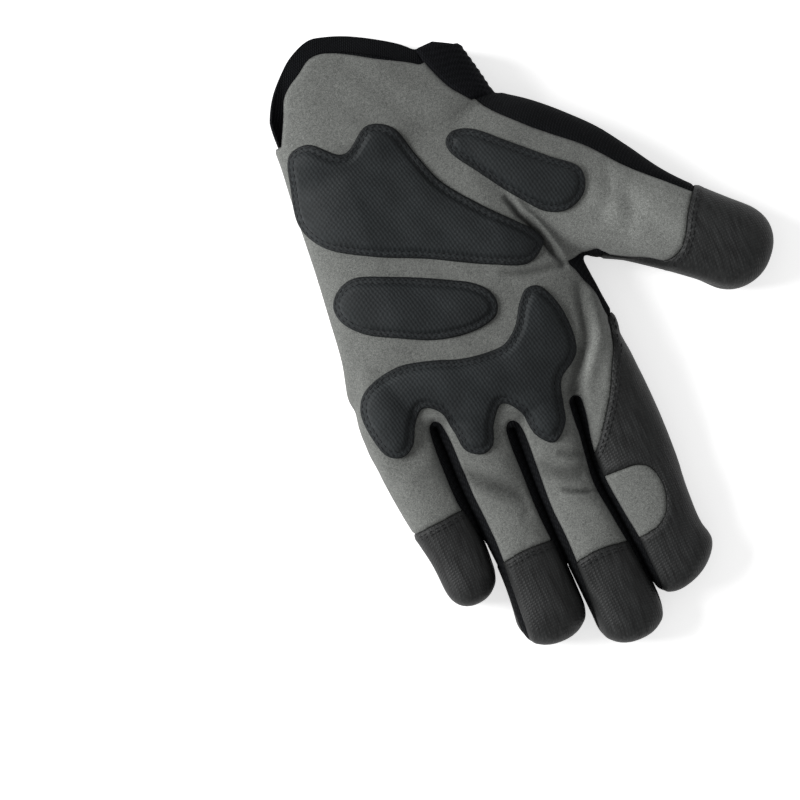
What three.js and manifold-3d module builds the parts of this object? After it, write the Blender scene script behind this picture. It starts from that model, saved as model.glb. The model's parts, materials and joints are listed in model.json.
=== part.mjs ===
// A padded work glove for the left hand, lying on its back with the palm up.
// Millimetres, +Z up, +Y to the fingertips, +X to the little finger, the thumb at -X.
// Every panel is cut from one hollow form, which is a hand, four fingers and a thumb joined.

import * as THREE from 'three';
import { mergeVertices } from 'three/addons/utils/BufferGeometryUtils.js';
import Module from 'manifold-3d';

const wasm = await Module();
wasm.setup();

// Driving dimensions of the hand
const palmLength = 150; // cuff to the crotches between the fingers
const palmHeight = 27;
const crotchLean = 23; // how much nearer the wrist the slits start on the back
const cupDepth = 2.2; // hollow of the palm between the two mounds

// Driving dimensions of the fingers
const indexWidth = 25.5;
const indexLength = 80.5;
const middleWidth = 24;
const middleLength = 92;
const ringWidth = 25.6;
const ringLength = 87;
const littleWidth = 26;
const littleLength = 68.3;
const fingerHeight = 19;
const fingerGap = 0.9;

// Driving dimensions of the thumb
const thumbWidth = 32;
const thumbLength = 97;
const thumbHeight = 22;
const thumbAngle = 47.8; // degrees from the fingers' direction

// Driving dimensions of the cloth
const wall = 1.4;
const seamGap = 0.3;
const seamHeight = 7; // where the panels of the palm meet those of the back
const sideStrip = 2.8; // how much of a side strip shows beside each finger
const crotchReach = 4; // how far the palm goes on under the start of a strip
const padMargin = 2.4; // flat stitched edge round a pad
const padEdge = 1.3; // thickness of that edge
const padThickness = 2.6;
const pipingWidth = 2.2;
const bindingWidth = 6;
const bindingThickness = 2.2;
const strapThickness = 2.2;
const strapInset = 3;
const gatherCount = 5;
const gatherDepth = 0.8;

// How finely the forms are cut
const handSides = 20;
const fingerSides = 12;
const tipSteps = 3;
const sidesAbove = 0.62; // share of them over the palm side
const tall = 4 * palmHeight; // more than any part of the glove is high
const smallestHalf = 0.4; // half the room left inside the very end of a tip

const knuckleWidth = indexWidth + middleWidth + ringWidth + littleWidth + 3 * fingerGap;

// Points given in hundredths of the knuckle width and of the palm length
const onPalm = (rows) => rows.map(([across, along]) => new THREE.Vector2(
  across * knuckleWidth / 100,
  along * palmLength / 100,
));

// A value read from a table of rows, with straight runs between them
function readTable(rows, key, column) {
  const last = rows.length - 1;
  if (key <= rows[0].at) return rows[0][column];
  if (key >= rows[last].at) return rows[last][column];
  const next = rows.findIndex((row) => row.at >= key);
  const before = rows[next - 1];
  const share = (key - before.at) / (rows[next].at - before.at);
  return THREE.MathUtils.lerp(before[column], rows[next][column], share);
}

// The slits between the fingers: where each starts, in hundredths of the palm, and how it
// drifts sideways, in hundredths of the middle finger's width, along hundredths of its length
const slitRows = {
  indexMiddle: [
    { at: 0, drift: 0 },
    { at: 10, drift: 4 },
    { at: 20, drift: 9 },
    { at: 32, drift: 11 },
    { at: 46, drift: 5 },
    { at: 62, drift: -1 },
    { at: 80, drift: -7 },
  ],
  middleRing: [
    { at: 0, drift: 0 },
    { at: 40, drift: 3 },
    { at: 80, drift: -1 },
  ],
  ringLittle: [
    { at: 0, drift: 0 },
    { at: 30, drift: -1 },
    { at: 52, drift: -5 },
  ],
};
const slitStart = { indexMiddle: 53.3, middleRing: 53.1, ringLittle: 46.2 };

const middleRingAt = -0.5 * knuckleWidth / 100;
const slitAcross = {
  indexMiddle: middleRingAt - middleWidth - fingerGap,
  middleRing: middleRingAt,
  ringLittle: middleRingAt + ringWidth + fingerGap,
};
const slitAlong = (name) => slitStart[name] * palmLength / 100;

function slitX(name, y) {
  const share = 100 * (y - slitAlong(name)) / middleLength;
  return slitAcross[name] + readTable(slitRows[name], share, 'drift') * middleWidth / 100;
}

const slitRun = (name, from, to, count) => Array.from({ length: count + 1 }, (_, step) => {
  const y = THREE.MathUtils.lerp(from, to, step / count);
  return new THREE.Vector2(slitX(name, y), y);
});

// The free sides of the index and the little finger: how far they stand outside the
// finger's own width, in hundredths of it, along hundredths of the finger
const indexSide = [
  { at: -42, out: -16 },
  { at: -8, out: -1 },
  { at: 42, out: 4 },
  { at: 62, out: 0 },
  { at: 78, out: 1 },
  { at: 86, out: 6 },
  { at: 100, out: 3 },
];
const littleSide = [
  { at: -42, out: -18 },
  { at: -8, out: 0 },
  { at: 16, out: -3 },
  { at: 40, out: -10 },
  { at: 56, out: -17 },
  { at: 72, out: -25 },
  { at: 88, out: -28 },
];

const fingers = {
  index: { width: indexWidth, length: indexLength, root: 51, left: null, right: 'indexMiddle',
    slant: 0.3, round: 0.42 },
  middle: { width: middleWidth, length: middleLength, root: 51.5, left: 'indexMiddle',
    right: 'middleRing', slant: 0, round: 0.5 },
  ring: { width: ringWidth, length: ringLength, root: 48, left: 'middleRing',
    right: 'ringLittle', slant: 0, round: 0.48 },
  little: { width: littleWidth, length: littleLength, root: 44, left: 'ringLittle', right: null,
    slant: 0.06, round: 0.4 },
};
const rootY = (finger) => finger.root * palmLength / 100;
const tipY = (finger) => rootY(finger) + finger.length;

// Both sides of a finger, seen from above, at one place along it
function sidesOf(finger, y) {
  const share = 100 * (y - rootY(finger)) / finger.length;
  const half = fingerGap / 2;
  const left = finger.left
    ? slitX(finger.left, y) + half
    : slitAcross.indexMiddle - half - indexWidth * (1 + readTable(indexSide, share, 'out') / 100);
  const right = finger.right
    ? slitX(finger.right, y) - half
    : slitAcross.ringLittle + half + littleWidth * (1 + readTable(littleSide, share, 'out') / 100);
  return { left, right };
}

const radialEdge = slitAcross.indexMiddle - fingerGap / 2 - indexWidth;
const ulnarEdge = slitAcross.ringLittle + fingerGap / 2 + littleWidth;

// Solids
function toSolid(geometry) {
  geometry.deleteAttribute('normal');
  geometry.deleteAttribute('uv');
  const merged = mergeVertices(geometry, 1e-5);
  return new wasm.Manifold(new wasm.Mesh({
    numProp: 3,
    vertProperties: new Float32Array(merged.attributes.position.array),
    triVerts: new Uint32Array(merged.index.array),
  }));
}

function prism(outline, low, high) {
  const shape = new THREE.Shape(outline);
  const geometry = new THREE.ExtrudeGeometry(shape, { depth: high - low, bevelEnabled: false });
  geometry.translate(0, 0, low);
  return toSolid(geometry);
}

const joined = (solids) => solids.reduce((sum, solid) => sum.add(solid));
const without = (solid, cutters) => cutters.reduce((rest, cutter) => rest.subtract(cutter), solid);

// A closed skin over rings of points, each end shut by a fan
function loft(rings) {
  const points = [];
  const faces = [];
  const sides = rings[0].length;
  rings.forEach((ring) => ring.forEach((point) => points.push(point)));
  for (let row = 0; row < rings.length - 1; row += 1) {
    for (let side = 0; side < sides; side += 1) {
      const next = (side + 1) % sides;
      const a = row * sides + side;
      const b = row * sides + next;
      faces.push([a, b, a + sides], [b, b + sides, a + sides]);
    }
  }
  [0, rings.length - 1].forEach((row) => {
    const middle = new THREE.Vector3();
    rings[row].forEach((point) => middle.addScaledVector(point, 1 / sides));
    points.push(middle);
    for (let side = 0; side < sides; side += 1) {
      const a = row * sides + side;
      const b = row * sides + (side + 1) % sides;
      faces.push(row === 0 ? [b, a, points.length - 1] : [a, b, points.length - 1]);
    }
  });
  const geometry = new THREE.BufferGeometry().setFromPoints(points);
  geometry.setIndex(faces.flat());
  return toSolid(geometry);
}

// One section across the form, a superellipse that is squarer below than above and is
// pressed flat where it rests. It runs so that its rows face outwards along +Y.
const bellyShare = 0.42; // height of the widest place
const sagShare = 0.1; // how much of the height is pressed flat
const roundAbove = 2.3;
const roundBelow = 3;

function section({ left, right, height, floor, inset, sides, cup = 0 }) {
  const centre = (left + right) / 2;
  const half = (right - left) / 2 - inset;
  const top = floor + height - inset;
  const belly = floor + height * bellyShare;
  const bottom = floor - height * sagShare + inset;
  const above = Math.round(sides * sidesAbove);
  const below = sides - above;
  const ring = [];
  for (let side = 0; side < sides; side += 1) {
    const turn = side < below ? side / below : 1 + (side - below) / above;
    const angle = -Math.PI * turn;
    const across = Math.cos(angle);
    const up = Math.sin(angle);
    const power = 2 / (up > 0 ? roundAbove : roundBelow);
    const x = half * Math.sign(across) * Math.abs(across) ** power;
    const rise = Math.abs(up) ** power;
    let z = up > 0 ? belly + (top - belly) * rise : belly - (belly - bottom) * rise;
    if (up > 0) z -= cup * Math.max(0, 1 - (2 * x / half) ** 2);
    ring.push({ x: centre + x, z: Math.max(z, floor + inset) });
  }
  return ring;
}

// The hand: rows along the palm, with both sides in hundredths of the knuckle width,
// and the height and the cup in hundredths of theirs
const handRows = [
  { at: -58, radial: -27, ulnar: 29, height: 84, cup: 0 },
  { at: -47, radial: -32.4, ulnar: 37.2, height: 86, cup: 0 },
  { at: -39, radial: -35.3, ulnar: 40, height: 88, cup: 0 },
  { at: -27.5, radial: -39, ulnar: 40.8, height: 94, cup: 30 },
  { at: -20, radial: -40.6, ulnar: 41.8, height: 98, cup: 70 },
  { at: -12, radial: -41.6, ulnar: 42.6, height: 100, cup: 100 },
  { at: 0, radial: -43.5, ulnar: 43.8, height: 100, cup: 100 },
  { at: 12, radial: -45, ulnar: 45.5, height: 98, cup: 80 },
  { at: 23, radial: -46.7, ulnar: 47, height: 94, cup: 40 },
  { at: 32, radial: -47.9, ulnar: 48.9, height: 89, cup: 0 },
  { at: 40, radial: -49, ulnar: 50, height: 84, cup: 0 },
  { at: 47, radial: -48.6, ulnar: 49.6, height: 76, cup: 0 },
];
const lastHandRow = handRows[handRows.length - 1];

// Where the palm ends between the fingers, from the index side to the little finger
const crotchRows = [
  { at: radialEdge, y: 51 * palmLength / 100 },
  { at: slitAcross.indexMiddle, y: slitAlong('indexMiddle') + crotchReach },
  { at: slitAcross.middleRing, y: slitAlong('middleRing') + crotchReach },
  { at: slitAcross.ringLittle, y: slitAlong('ringLittle') + crotchReach },
  { at: ulnarEdge, y: 42 * palmLength / 100 },
];

// The cuff is lifted by the strap that lies under it
const strapStart = -27.5; // hundredths of the palm length
const strapRun = 8;
function floorAt(along) {
  const share = THREE.MathUtils.smoothstep(strapStart + strapRun - along, 0, strapRun);
  return share * (strapThickness + seamGap);
}

function handForm(inset, rows = handRows) {
  return loft(rows.map((row) => {
    const height = row.height * palmHeight / 100;
    const ring = section({
      left: row.radial * knuckleWidth / 100,
      right: row.ulnar * knuckleWidth / 100,
      height,
      floor: floorAt(row.at),
      inset: inset + (row.swell ?? 0),
      sides: handSides,
      cup: row.cup * cupDepth / 100,
    });
    const bend = THREE.MathUtils.clamp((row.at - 12) / (lastHandRow.at - 12), 0, 1) ** 2;
    return ring.map(({ x, z }) => {
      const end = readTable(crotchRows, x, 'y') - crotchLean * (1 - z / height) - inset;
      const straight = row.at * palmLength / 100;
      const warp = end - lastHandRow.at * palmLength / 100;
      return new THREE.Vector3(x, straight + bend * warp, z);
    });
  }));
}

// Heights along a finger, in hundredths, with a slight waist at each joint
const fingerRows = [
  { at: -42, height: 108 },
  { at: -8, height: 110 },
  { at: 16, height: 103 },
  { at: 34, height: 95 },
  { at: 54, height: 97 },
  { at: 76, height: 92 },
];
const tipHeight = 90;
const tipSquareness = 2.3;
const tipRise = 0.12; // how far the underside of a tip curls off the surface

// Rows that close a tube with a round tip, as shares of the half width that is left
function tipRows(round) {
  const rows = [];
  for (let step = 0; step <= tipSteps; step += 1) {
    const angle = Math.PI / 2 * (step / (tipSteps + 0.35));
    rows.push({
      back: round * (1 - Math.sin(angle) ** (2 / tipSquareness)),
      left: Math.cos(angle) ** (2 / tipSquareness),
    });
  }
  return rows;
}

function fingerForm(finger, inset) {
  const tip = tipY(finger) - inset;
  const round = finger.round * finger.width;
  const place = (y, narrow, share) => {
    const { left, right } = sidesOf(finger, y);
    const centre = (left + right) / 2;
    const half = (right - left) / 2 * narrow;
    const height = share * fingerHeight / 100;
    const lift = tipRise * height * (1 - narrow);
    const ring = section({
      left: centre - Math.max(half, inset + smallestHalf),
      right: centre + Math.max(half, inset + smallestHalf),
      height: Math.max(height * narrow, 2 * (inset + smallestHalf)),
      floor: height * (1 - narrow) * bellyShare + lift,
      inset,
      sides: fingerSides,
    });
    const slant = finger.slant * THREE.MathUtils.smoothstep(y, tip - 2.2 * round, tip);
    return ring.map(({ x, z }) => new THREE.Vector3(x, y + slant * (x - centre), z));
  };
  const body = fingerRows.map((row) => place(
    rootY(finger) + row.at * finger.length / 100,
    1,
    row.height,
  ));
  const end = tipRows(round).map((row) => place(tip - row.back, row.left, tipHeight));
  return loft([...body, ...end]);
}

// The thumb: its own axis from a root in the palm, with the outer and inner side in
// hundredths of its width and the height in hundredths, along hundredths of its length
const thumbRoot = onPalm([[-38.7, -5.3]])[0];
const thumbTurn = THREE.MathUtils.degToRad(thumbAngle);
const thumbAxis = new THREE.Vector2(-Math.sin(thumbTurn), Math.cos(thumbTurn));
const thumbSide = new THREE.Vector2(Math.cos(thumbTurn), Math.sin(thumbTurn));
const onThumb = (rows) => rows.map(([along, side]) => thumbRoot.clone()
  .addScaledVector(thumbAxis, along * thumbLength / 100)
  .addScaledVector(thumbSide, side * thumbWidth / 100));

const thumbRows = [
  { at: -37, outer: -35, inner: 30, height: 108 },
  { at: -25, outer: -68, inner: 40, height: 114 },
  { at: -13, outer: -76, inner: 50, height: 118 },
  { at: 10, outer: -78, inner: 65, height: 118 },
  { at: 22, outer: -75, inner: 70, height: 113 },
  { at: 34, outer: -67, inner: 69, height: 108 },
  { at: 50, outer: -55, inner: 58, height: 99 },
  { at: 76, outer: -49, inner: 50, height: 93 },
];
const thumbTipRound = 0.5;
const thumbTipWidth = 98; // hundredths of the width where the tip starts to round

function thumbForm(inset) {
  const tip = thumbLength - inset;
  const place = (along, outer, inner, narrow, share) => {
    const height = share * thumbHeight / 100;
    const centre = (outer + inner) / 2;
    const half = Math.max((inner - outer) / 2 * narrow, inset + smallestHalf);
    const ring = section({
      left: centre - half,
      right: centre + half,
      height: Math.max(height * narrow, 2 * (inset + smallestHalf)),
      floor: height * (1 - narrow) * (bellyShare + tipRise),
      inset,
      sides: fingerSides,
    });
    return ring.map(({ x, z }) => {
      const spot = thumbRoot.clone().addScaledVector(thumbAxis, along)
        .addScaledVector(thumbSide, x);
      return new THREE.Vector3(spot.x, spot.y, z);
    });
  };
  const body = thumbRows.map((row) => place(
    row.at * thumbLength / 100,
    row.outer * thumbWidth / 100,
    row.inner * thumbWidth / 100,
    1,
    row.height,
  ));
  const half = thumbTipWidth / 2 * thumbWidth / 100;
  const end = tipRows(thumbTipRound * thumbWidth).map((row) => (
    place(tip - row.back, -half, half, row.left, tipHeight)));
  return loft([...body, ...end]);
}

const formAt = (inset) => joined([
  handForm(inset),
  ...Object.values(fingers).map((finger) => fingerForm(finger, inset)),
  thumbForm(inset),
]);

const outside = formAt(0);
const inside = formAt(wall);
const cloth = outside.subtract(inside);

// Outlines seen from above
function curve(points, closed = false, steps = 2) {
  const spline = new THREE.CatmullRomCurve3(
    points.map((point) => new THREE.Vector3(point.x, point.y, 0)),
    closed,
    'centripetal',
  );
  const spans = closed ? points.length : points.length - 1;
  const run = spline.getPoints(spans * steps);
  if (closed) run.pop();
  return run.map((point) => new THREE.Vector2(point.x, point.y));
}

// An outline moved outwards by a distance, or inwards by a negative one
const sharpestCorner = 0.5; // a corner's point moves at most 1 / this as far as its sides
function grow(outline, distance) {
  const turn = Math.sign(THREE.ShapeUtils.area(outline));
  return outline.map((point, index) => {
    const before = outline[(index + outline.length - 1) % outline.length];
    const after = outline[(index + 1) % outline.length];
    const arrive = point.clone().sub(before).normalize();
    const leave = after.clone().sub(point).normalize();
    const along = arrive.clone().add(leave).normalize();
    const stretch = 1 / Math.max(sharpestCorner, arrive.dot(along));
    return new THREE.Vector2(
      point.x + along.y * turn * distance * stretch,
      point.y - along.x * turn * distance * stretch,
    );
  });
}

// A band of even width along an open line
function bandAlong(line, width) {
  const sideways = (distance) => line.map((point, index) => {
    const before = line[Math.max(index - 1, 0)];
    const after = line[Math.min(index + 1, line.length - 1)];
    const along = after.clone().sub(before).normalize();
    return new THREE.Vector2(point.x - along.y * distance, point.y + along.x * distance);
  });
  return [...sideways(width / 2), ...sideways(-width / 2).reverse()];
}

// A region of the cloth: an outline above the seam, below it, or through both.
// The same region a gap wider cuts its neighbours.
const upper = (outline) => ({ outline, low: seamHeight + seamGap / 2, high: tall });
const lower = (outline) => ({ outline, low: -tall, high: seamHeight - seamGap / 2 });
const through = (outline) => ({ outline, low: -tall, high: tall });
// The same two for a piece that goes on across the seam
const raised = (outline) => ({ outline, low: seamHeight - seamGap, high: tall });
const lowered = (outline) => ({ outline, low: -tall, high: seamHeight + seamGap });
const fill = (regions) => joined(regions.map((one) => prism(one.outline, one.low, one.high)));
const cutFor = (regions) => joined(regions.map((one) => prism(
  grow(one.outline, seamGap),
  one.low - seamGap,
  one.high + seamGap,
)));

const everywhere = [
  new THREE.Vector2(-2 * palmLength, -2 * palmLength),
  new THREE.Vector2(2 * palmLength, -2 * palmLength),
  new THREE.Vector2(2 * palmLength, 2 * palmLength),
  new THREE.Vector2(-2 * palmLength, 2 * palmLength),
];
const far = palmLength; // beyond the glove on any side
const beyondTips = Math.max(...Object.values(fingers).map(tipY)) + fingerHeight;

// Side strips between two fingers: up the facing sides of both, joined at the crotch
const stripEnd = 0.9; // share of the finger where the strip stops short of the tip
const stripSteps = 4;
const noseWidth = 0.8; // half width of a strip's rounded start, as a share of the strip's
const noseRound = 0.3; // how far the corners of that start fall back, as a share again

function sideStripOutline(name, leftFinger, rightFinger) {
  const start = slitAlong(name);
  const walk = (finger, side) => {
    const end = rootY(finger) + stripEnd * finger.length;
    const points = [];
    for (let step = 0; step <= stripSteps; step += 1) {
      const y = THREE.MathUtils.lerp(start + sideStrip, end, step / stripSteps);
      points.push(new THREE.Vector2(sidesOf(finger, y)[side], y));
    }
    return points;
  };
  const leftRun = walk(leftFinger, 'right')
    .map((point) => new THREE.Vector2(point.x - sideStrip, point.y));
  const rightRun = walk(rightFinger, 'left')
    .map((point) => new THREE.Vector2(point.x + sideStrip, point.y));
  const leftTop = leftRun[stripSteps].y;
  const rightTop = rightRun[stripSteps].y;
  const middle = (y) => new THREE.Vector2(slitX(name, y), y);
  const bottom = [-1, 0, 1].map((turn) => new THREE.Vector2(
    slitX(name, start) + noseWidth * turn * sideStrip,
    start - (1 - noseRound * Math.abs(turn)) * sideStrip,
  ));
  const crown = [middle(rightTop), middle(leftTop)];
  return [...bottom, ...rightRun, ...crown, ...leftRun.reverse()];
}

// The slanted end of the palm between two fingers belongs to the same strip. Its lower
// part reaches down the slant, and a short upper part lies close under the palm's edge.
const crotchWidth = 8;
const crotchSkin = 0.5; // palm cloth left over the upper part
const crotchLip = 1.6; // how far that part starts ahead of the slit, in widths of the strip
function crotchBlocks(name) {
  const start = slitAlong(name);
  const reach = crotchWidth / 2;
  const x = slitX(name, start);
  const block = (from, drop) => {
    const fromMiddle = (Math.abs(x) + reach) / (knuckleWidth / 2);
    const round = (1 - fromMiddle ** roundAbove) ** (1 / roundAbove);
    const height = palmHeight * lastHandRow.height / 100;
    return {
      outline: [
        new THREE.Vector2(x - reach, from),
        new THREE.Vector2(x + reach, from),
        new THREE.Vector2(x + reach, start + sideStrip),
        new THREE.Vector2(x - reach, start + sideStrip),
      ],
      low: seamHeight + seamGap / 2,
      high: height * (bellyShare + (1 - bellyShare) * round) - drop,
    };
  };
  return [
    block(start - crotchLean - wall, wall + 2 * crotchSkin),
    block(start - crotchLip * sideStrip, crotchSkin),
  ];
}

const strips = {
  strip_index_middle: ['indexMiddle', fingers.index, fingers.middle],
  strip_middle_ring: ['middleRing', fingers.middle, fingers.ring],
  strip_ring_little: ['ringLittle', fingers.ring, fingers.little],
};
const stripRegions = Object.fromEntries(Object.entries(strips).map(([name, row]) => [
  name,
  [upper(sideStripOutline(...row)), ...crotchBlocks(row[0])],
]));

// Caps over the fingertips: the line across the finger in hundredths of its length, at
// its left side, its middle and its right side
const capLines = {
  middle: [62, 60.5, 62.5],
  ring: [59, 58.3, 60.5],
  little: [50, 51.5, 55],
};

function capOutline(name) {
  const finger = fingers[name];
  const heights = capLines[name].map((share) => rootY(finger) + share * finger.length / 100);
  const { left, right } = sidesOf(finger, heights[1]);
  const leftSide = finger.left ? slitX(finger.left, heights[0]) : left;
  const rightSide = finger.right ? slitX(finger.right, heights[2]) : right + finger.width / 2;
  const line = curve([
    new THREE.Vector2(leftSide, heights[0]),
    new THREE.Vector2((left + right) / 2, heights[1]),
    new THREE.Vector2(rightSide, heights[2]),
  ]);
  const rightRun = finger.right
    ? slitRun(finger.right, heights[2], beyondTips, 4).slice(1)
    : [new THREE.Vector2(rightSide, beyondTips)];
  const leftRun = slitRun(finger.left, beyondTips, heights[0], 4).slice(0, -1);
  return [...line, ...rightRun, ...leftRun];
}

// Points on the index finger, in hundredths of its width from its middle and of its length
const onIndex = (rows) => rows.map(([across, along]) => new THREE.Vector2(
  radialEdge + indexWidth * (0.5 + across / 100),
  rootY(fingers.index) + along * indexLength / 100,
));
const alongIndex = (share) => rootY(fingers.index) + share * indexLength / 100;

// The guard runs up the free side of the index, across it, and over its tip
const guardPalmLine = curve(onIndex([
  [-95, -30], [-57, -28.5], [-50.5, -26.3], [-47, -21.6], [-43.5, -18], [-37, -13], [-19, -5.6],
  [1, 5.6], [25, 17], [44, 25], [58, 29.5],
]));
const guardBackLine = curve(onIndex([[-95, 42], [-54, 44], [-25, 57], [15, 65.5], [54, 67.5]]));
const patchLine = curve(onIndex([
  [56, 40], [30, 40], [5, 40.6], [-12, 44], [-20, 52.8], [-17, 60], [-8, 66], [8, 70],
  [28, 71.5], [46, 72.2],
]));
const farIndex = new THREE.Vector2(-far, beyondTips);
const guardRegions = [
  upper([...guardPalmLine, ...slitRun('indexMiddle', alongIndex(30), beyondTips, 5), farIndex]),
  lowered([...guardBackLine, ...slitRun('indexMiddle', alongIndex(68), beyondTips, 9), farIndex]),
];
const patchRegions = [upper([
  ...slitRun('indexMiddle', alongIndex(40.4), alongIndex(72), 3),
  ...patchLine.slice().reverse(),
])];

// The thumb's cap has a tail along the side that faces the index
const thumbCapLine = curve(onThumb([
  [64, -70], [64, -40], [65, -14], [66.8, 10], [66.9, 29], [64.8, 41], [62.5, 47],
]));
const thumbTail = curve(onThumb([[62.5, 47], [56.7, 50], [48, 57.5], [40, 63]]));
const thumbCapRegions = [
  through([
    ...thumbCapLine,
    ...onThumb([[62.5, 110], [140, 110], [140, -90], [64, -90]]),
  ]),
  upper([...thumbTail, ...onThumb([[40, 80], [62.5, 80]])]),
];

// The black cloth of the back comes up round the thumb's outer side and in its crotch
const thumbBandLine = onThumb([
  [64, -42.5], [50, -42.5], [36, -43], [20, -48], [6, -47.5], [-7, -47.5], [-22, -52], [-29, -60],
]);
const thumbBandRegion = raised([
  ...curve(thumbBandLine),
  ...onThumb([[-29, -110], [64, -110]]),
]);
const webLine = onPalm([
  [-51, 37.6], [-48.4, 36.8], [-46.9, 34.8], [-46, 31], [-45.1, 28.5], [-44.2, 26.5], [-42.5, 22.7],
  [-40.5, 20.3],
]);
const webRegion = raised([
  ...curve(webLine),
  ...onPalm([[-46, 19.8], [-52, 20.4], [-60, 26], [-60, 37.6]]),
]);

// The gathered elastic at the wrist, on the thumb's side
const gussetLine = curve(onPalm([[-19.6, -42], [-20.3, -39], [-25, -30.7], [-31, -25.3]]));
const gussetEnd = onPalm([[-60, -38.5], [-33, -40], [-26, -42.3]]);
const gussetRegions = [through([...gussetLine, ...onPalm([[-60, -25.3]]), ...gussetEnd])];

// Cuff edges: the palm ends before the back does
const palmCuffLine = curve(onPalm([
  [-18.5, -38.1], [-15.2, -39.6], [-4.9, -43.4], [3.1, -46.7], [8.2, -48.6], [13.6, -49.7],
  [17.5, -49.4], [22.5, -47.2], [27.4, -45.1], [30.6, -42.9], [33.3, -39.2], [35.8, -35.8],
  [38.1, -32.5],
]));
const backCuffLine = curve(onPalm([
  [-19.3, -43], [-14.5, -46], [0, -52], [8.7, -54.3], [14.5, -55], [22.2, -53],
  [29, -49.3], [34.8, -44.7], [39.2, -38.7], [41.5, -32.5],
]));
const pastPalmCuff = [
  ...onPalm([[-60, -38.5]]),
  ...palmCuffLine,
  ...onPalm([[60, -33.5], [60, -90], [-60, -90]]),
];
const pastBackCuff = [
  ...gussetEnd,
  ...backCuffLine,
  ...onPalm([[60, -32.5], [60, -90], [-60, -90]]),
];
const innerEdge = grow(pastBackCuff, bindingWidth).slice(
  gussetEnd.length,
  gussetEnd.length + backCuffLine.length,
);
const bindingRegions = [lower([...backCuffLine, ...innerEdge.reverse()])];

// Pads on the palm
const padOutlines = {
  heel_pad: onPalm([
    [-35, 13.5], [-28, 17], [-14.5, 13.7], [5, 6.7], [23, 1], [37, -5.3], [42, -12.3],
    [40, -22], [36, -29.7], [29, -30.3], [18.5, -24.7], [7, -29], [-1, -26.3], [-5.5, -17.3],
    [-9.7, -9.7], [-20.5, 0], [-33, 9.7],
  ]),
  thumb_pad: onThumb([
    [22.5, -15], [24.7, 0], [24, 16], [20.5, 31], [14, 39], [3, 36], [-15, 24], [-28, 13],
    [-31, 3], [-30, -10], [-24, -20], [-8, -21], [8, -21], [19, -22],
  ]),
  mid_palm_pad: onPalm([
    [-12, 22.7], [-10, 25.7], [-5, 27], [3, 27.2], [13.5, 25.7], [25, 22], [36, 17.7],
    [41.5, 13], [42, 8.7], [38.5, 5.5], [32, 4.2], [19.5, 7.3], [9.7, 10.3], [0, 13.7],
    [-6, 16], [-10.7, 19.3],
  ]),
  knuckle_pad: onPalm([
    [-20, 52], [-18, 56.7], [-12, 60], [-7, 56.7], [-5, 50], [0, 46.3], [5.3, 50], [8.7, 55],
    [13, 56], [18, 53.7], [19.5, 48], [21.3, 42.7], [26.5, 40.1], [31, 42.7], [35, 47.7],
    [39.7, 49.3], [44.5, 47.7], [47.2, 41.3], [47.2, 35.3], [44.5, 31.7], [40, 29.7],
    [29, 28.3], [17.4, 30], [7.7, 32.3], [-2, 33.3], [-8.7, 33], [-14.5, 30], [-18.9, 25.3],
    [-23.2, 22.5], [-27.6, 22.9], [-31.2, 27.3], [-32.9, 34], [-31.9, 40.3], [-28.5, 43.3],
    [-22.7, 46.3],
  ]),
};
const padFoot = seamHeight + 4; // no pad reaches lower down the side of the hand

// The ribbed panel on the back of the ring and little fingers, with piping along its edge
const ribbedLine = curve([
  ...slitRun('middleRing', beyondTips, slitAlong('middleRing'), 4),
  ...onPalm([[2.2, 35.3], [4.6, 24], [10.4, 11.3], [17.9, 4.7], [25, 1], [34, -0.4], [43, 1.5],
    [54, 6]]),
]);
const ribbedRegions = [lower([
  ...ribbedLine,
  ...onPalm([[110, 6]]),
  new THREE.Vector2(far, beyondTips),
])];
const pipingStart = ribbedLine.findIndex((point) => (
  point.y < slitAlong('middleRing') - crotchLean + pipingWidth));
const pipingRegions = [lower(bandAlong(ribbedLine.slice(pipingStart), pipingWidth))];

// Panels
const stripCuts = Object.values(stripRegions).map(cutFor);
const capRegions = Object.fromEntries(Object.keys(capLines).map((name) => [
  name,
  [through(capOutline(name))],
]));

const panels = {};
Object.entries(stripRegions).forEach(([name, regions]) => {
  panels[name] = cloth.intersect(fill(regions));
});
Object.entries(capRegions).forEach(([name, regions]) => {
  panels[`${name}_cap`] = without(cloth.intersect(fill(regions)), stripCuts);
});
panels.index_patch = without(cloth.intersect(fill(patchRegions)), stripCuts);
panels.index_guard = without(
  cloth.intersect(fill(guardRegions)),
  [...stripCuts, cutFor(patchRegions)],
);
panels.thumb_guard = cloth.intersect(fill(thumbCapRegions));

// The elastic is the same form with small waves along it
const gatherStart = -43.5;
const gatherEnd = -23;
const gatherRows = [];
for (let step = 0; step <= 2 * gatherCount; step += 1) {
  const at = THREE.MathUtils.lerp(gatherStart, gatherEnd, step / (2 * gatherCount));
  const row = { at, swell: step % 2 ? -gatherDepth : 0 };
  ['radial', 'ulnar', 'height', 'cup'].forEach((column) => {
    row[column] = readTable(handRows, at, column);
  });
  gatherRows.push(row);
}
const gussetCloth = handForm(seamGap, gatherRows).subtract(inside);
panels.wrist_gusset = gussetCloth.intersect(fill(gussetRegions));

const cuffCloth = outside.subtract(formAt(bindingThickness));
panels.cuff_binding = without(
  cuffCloth.intersect(fill(bindingRegions)),
  [cutFor(gussetRegions)],
);

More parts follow.
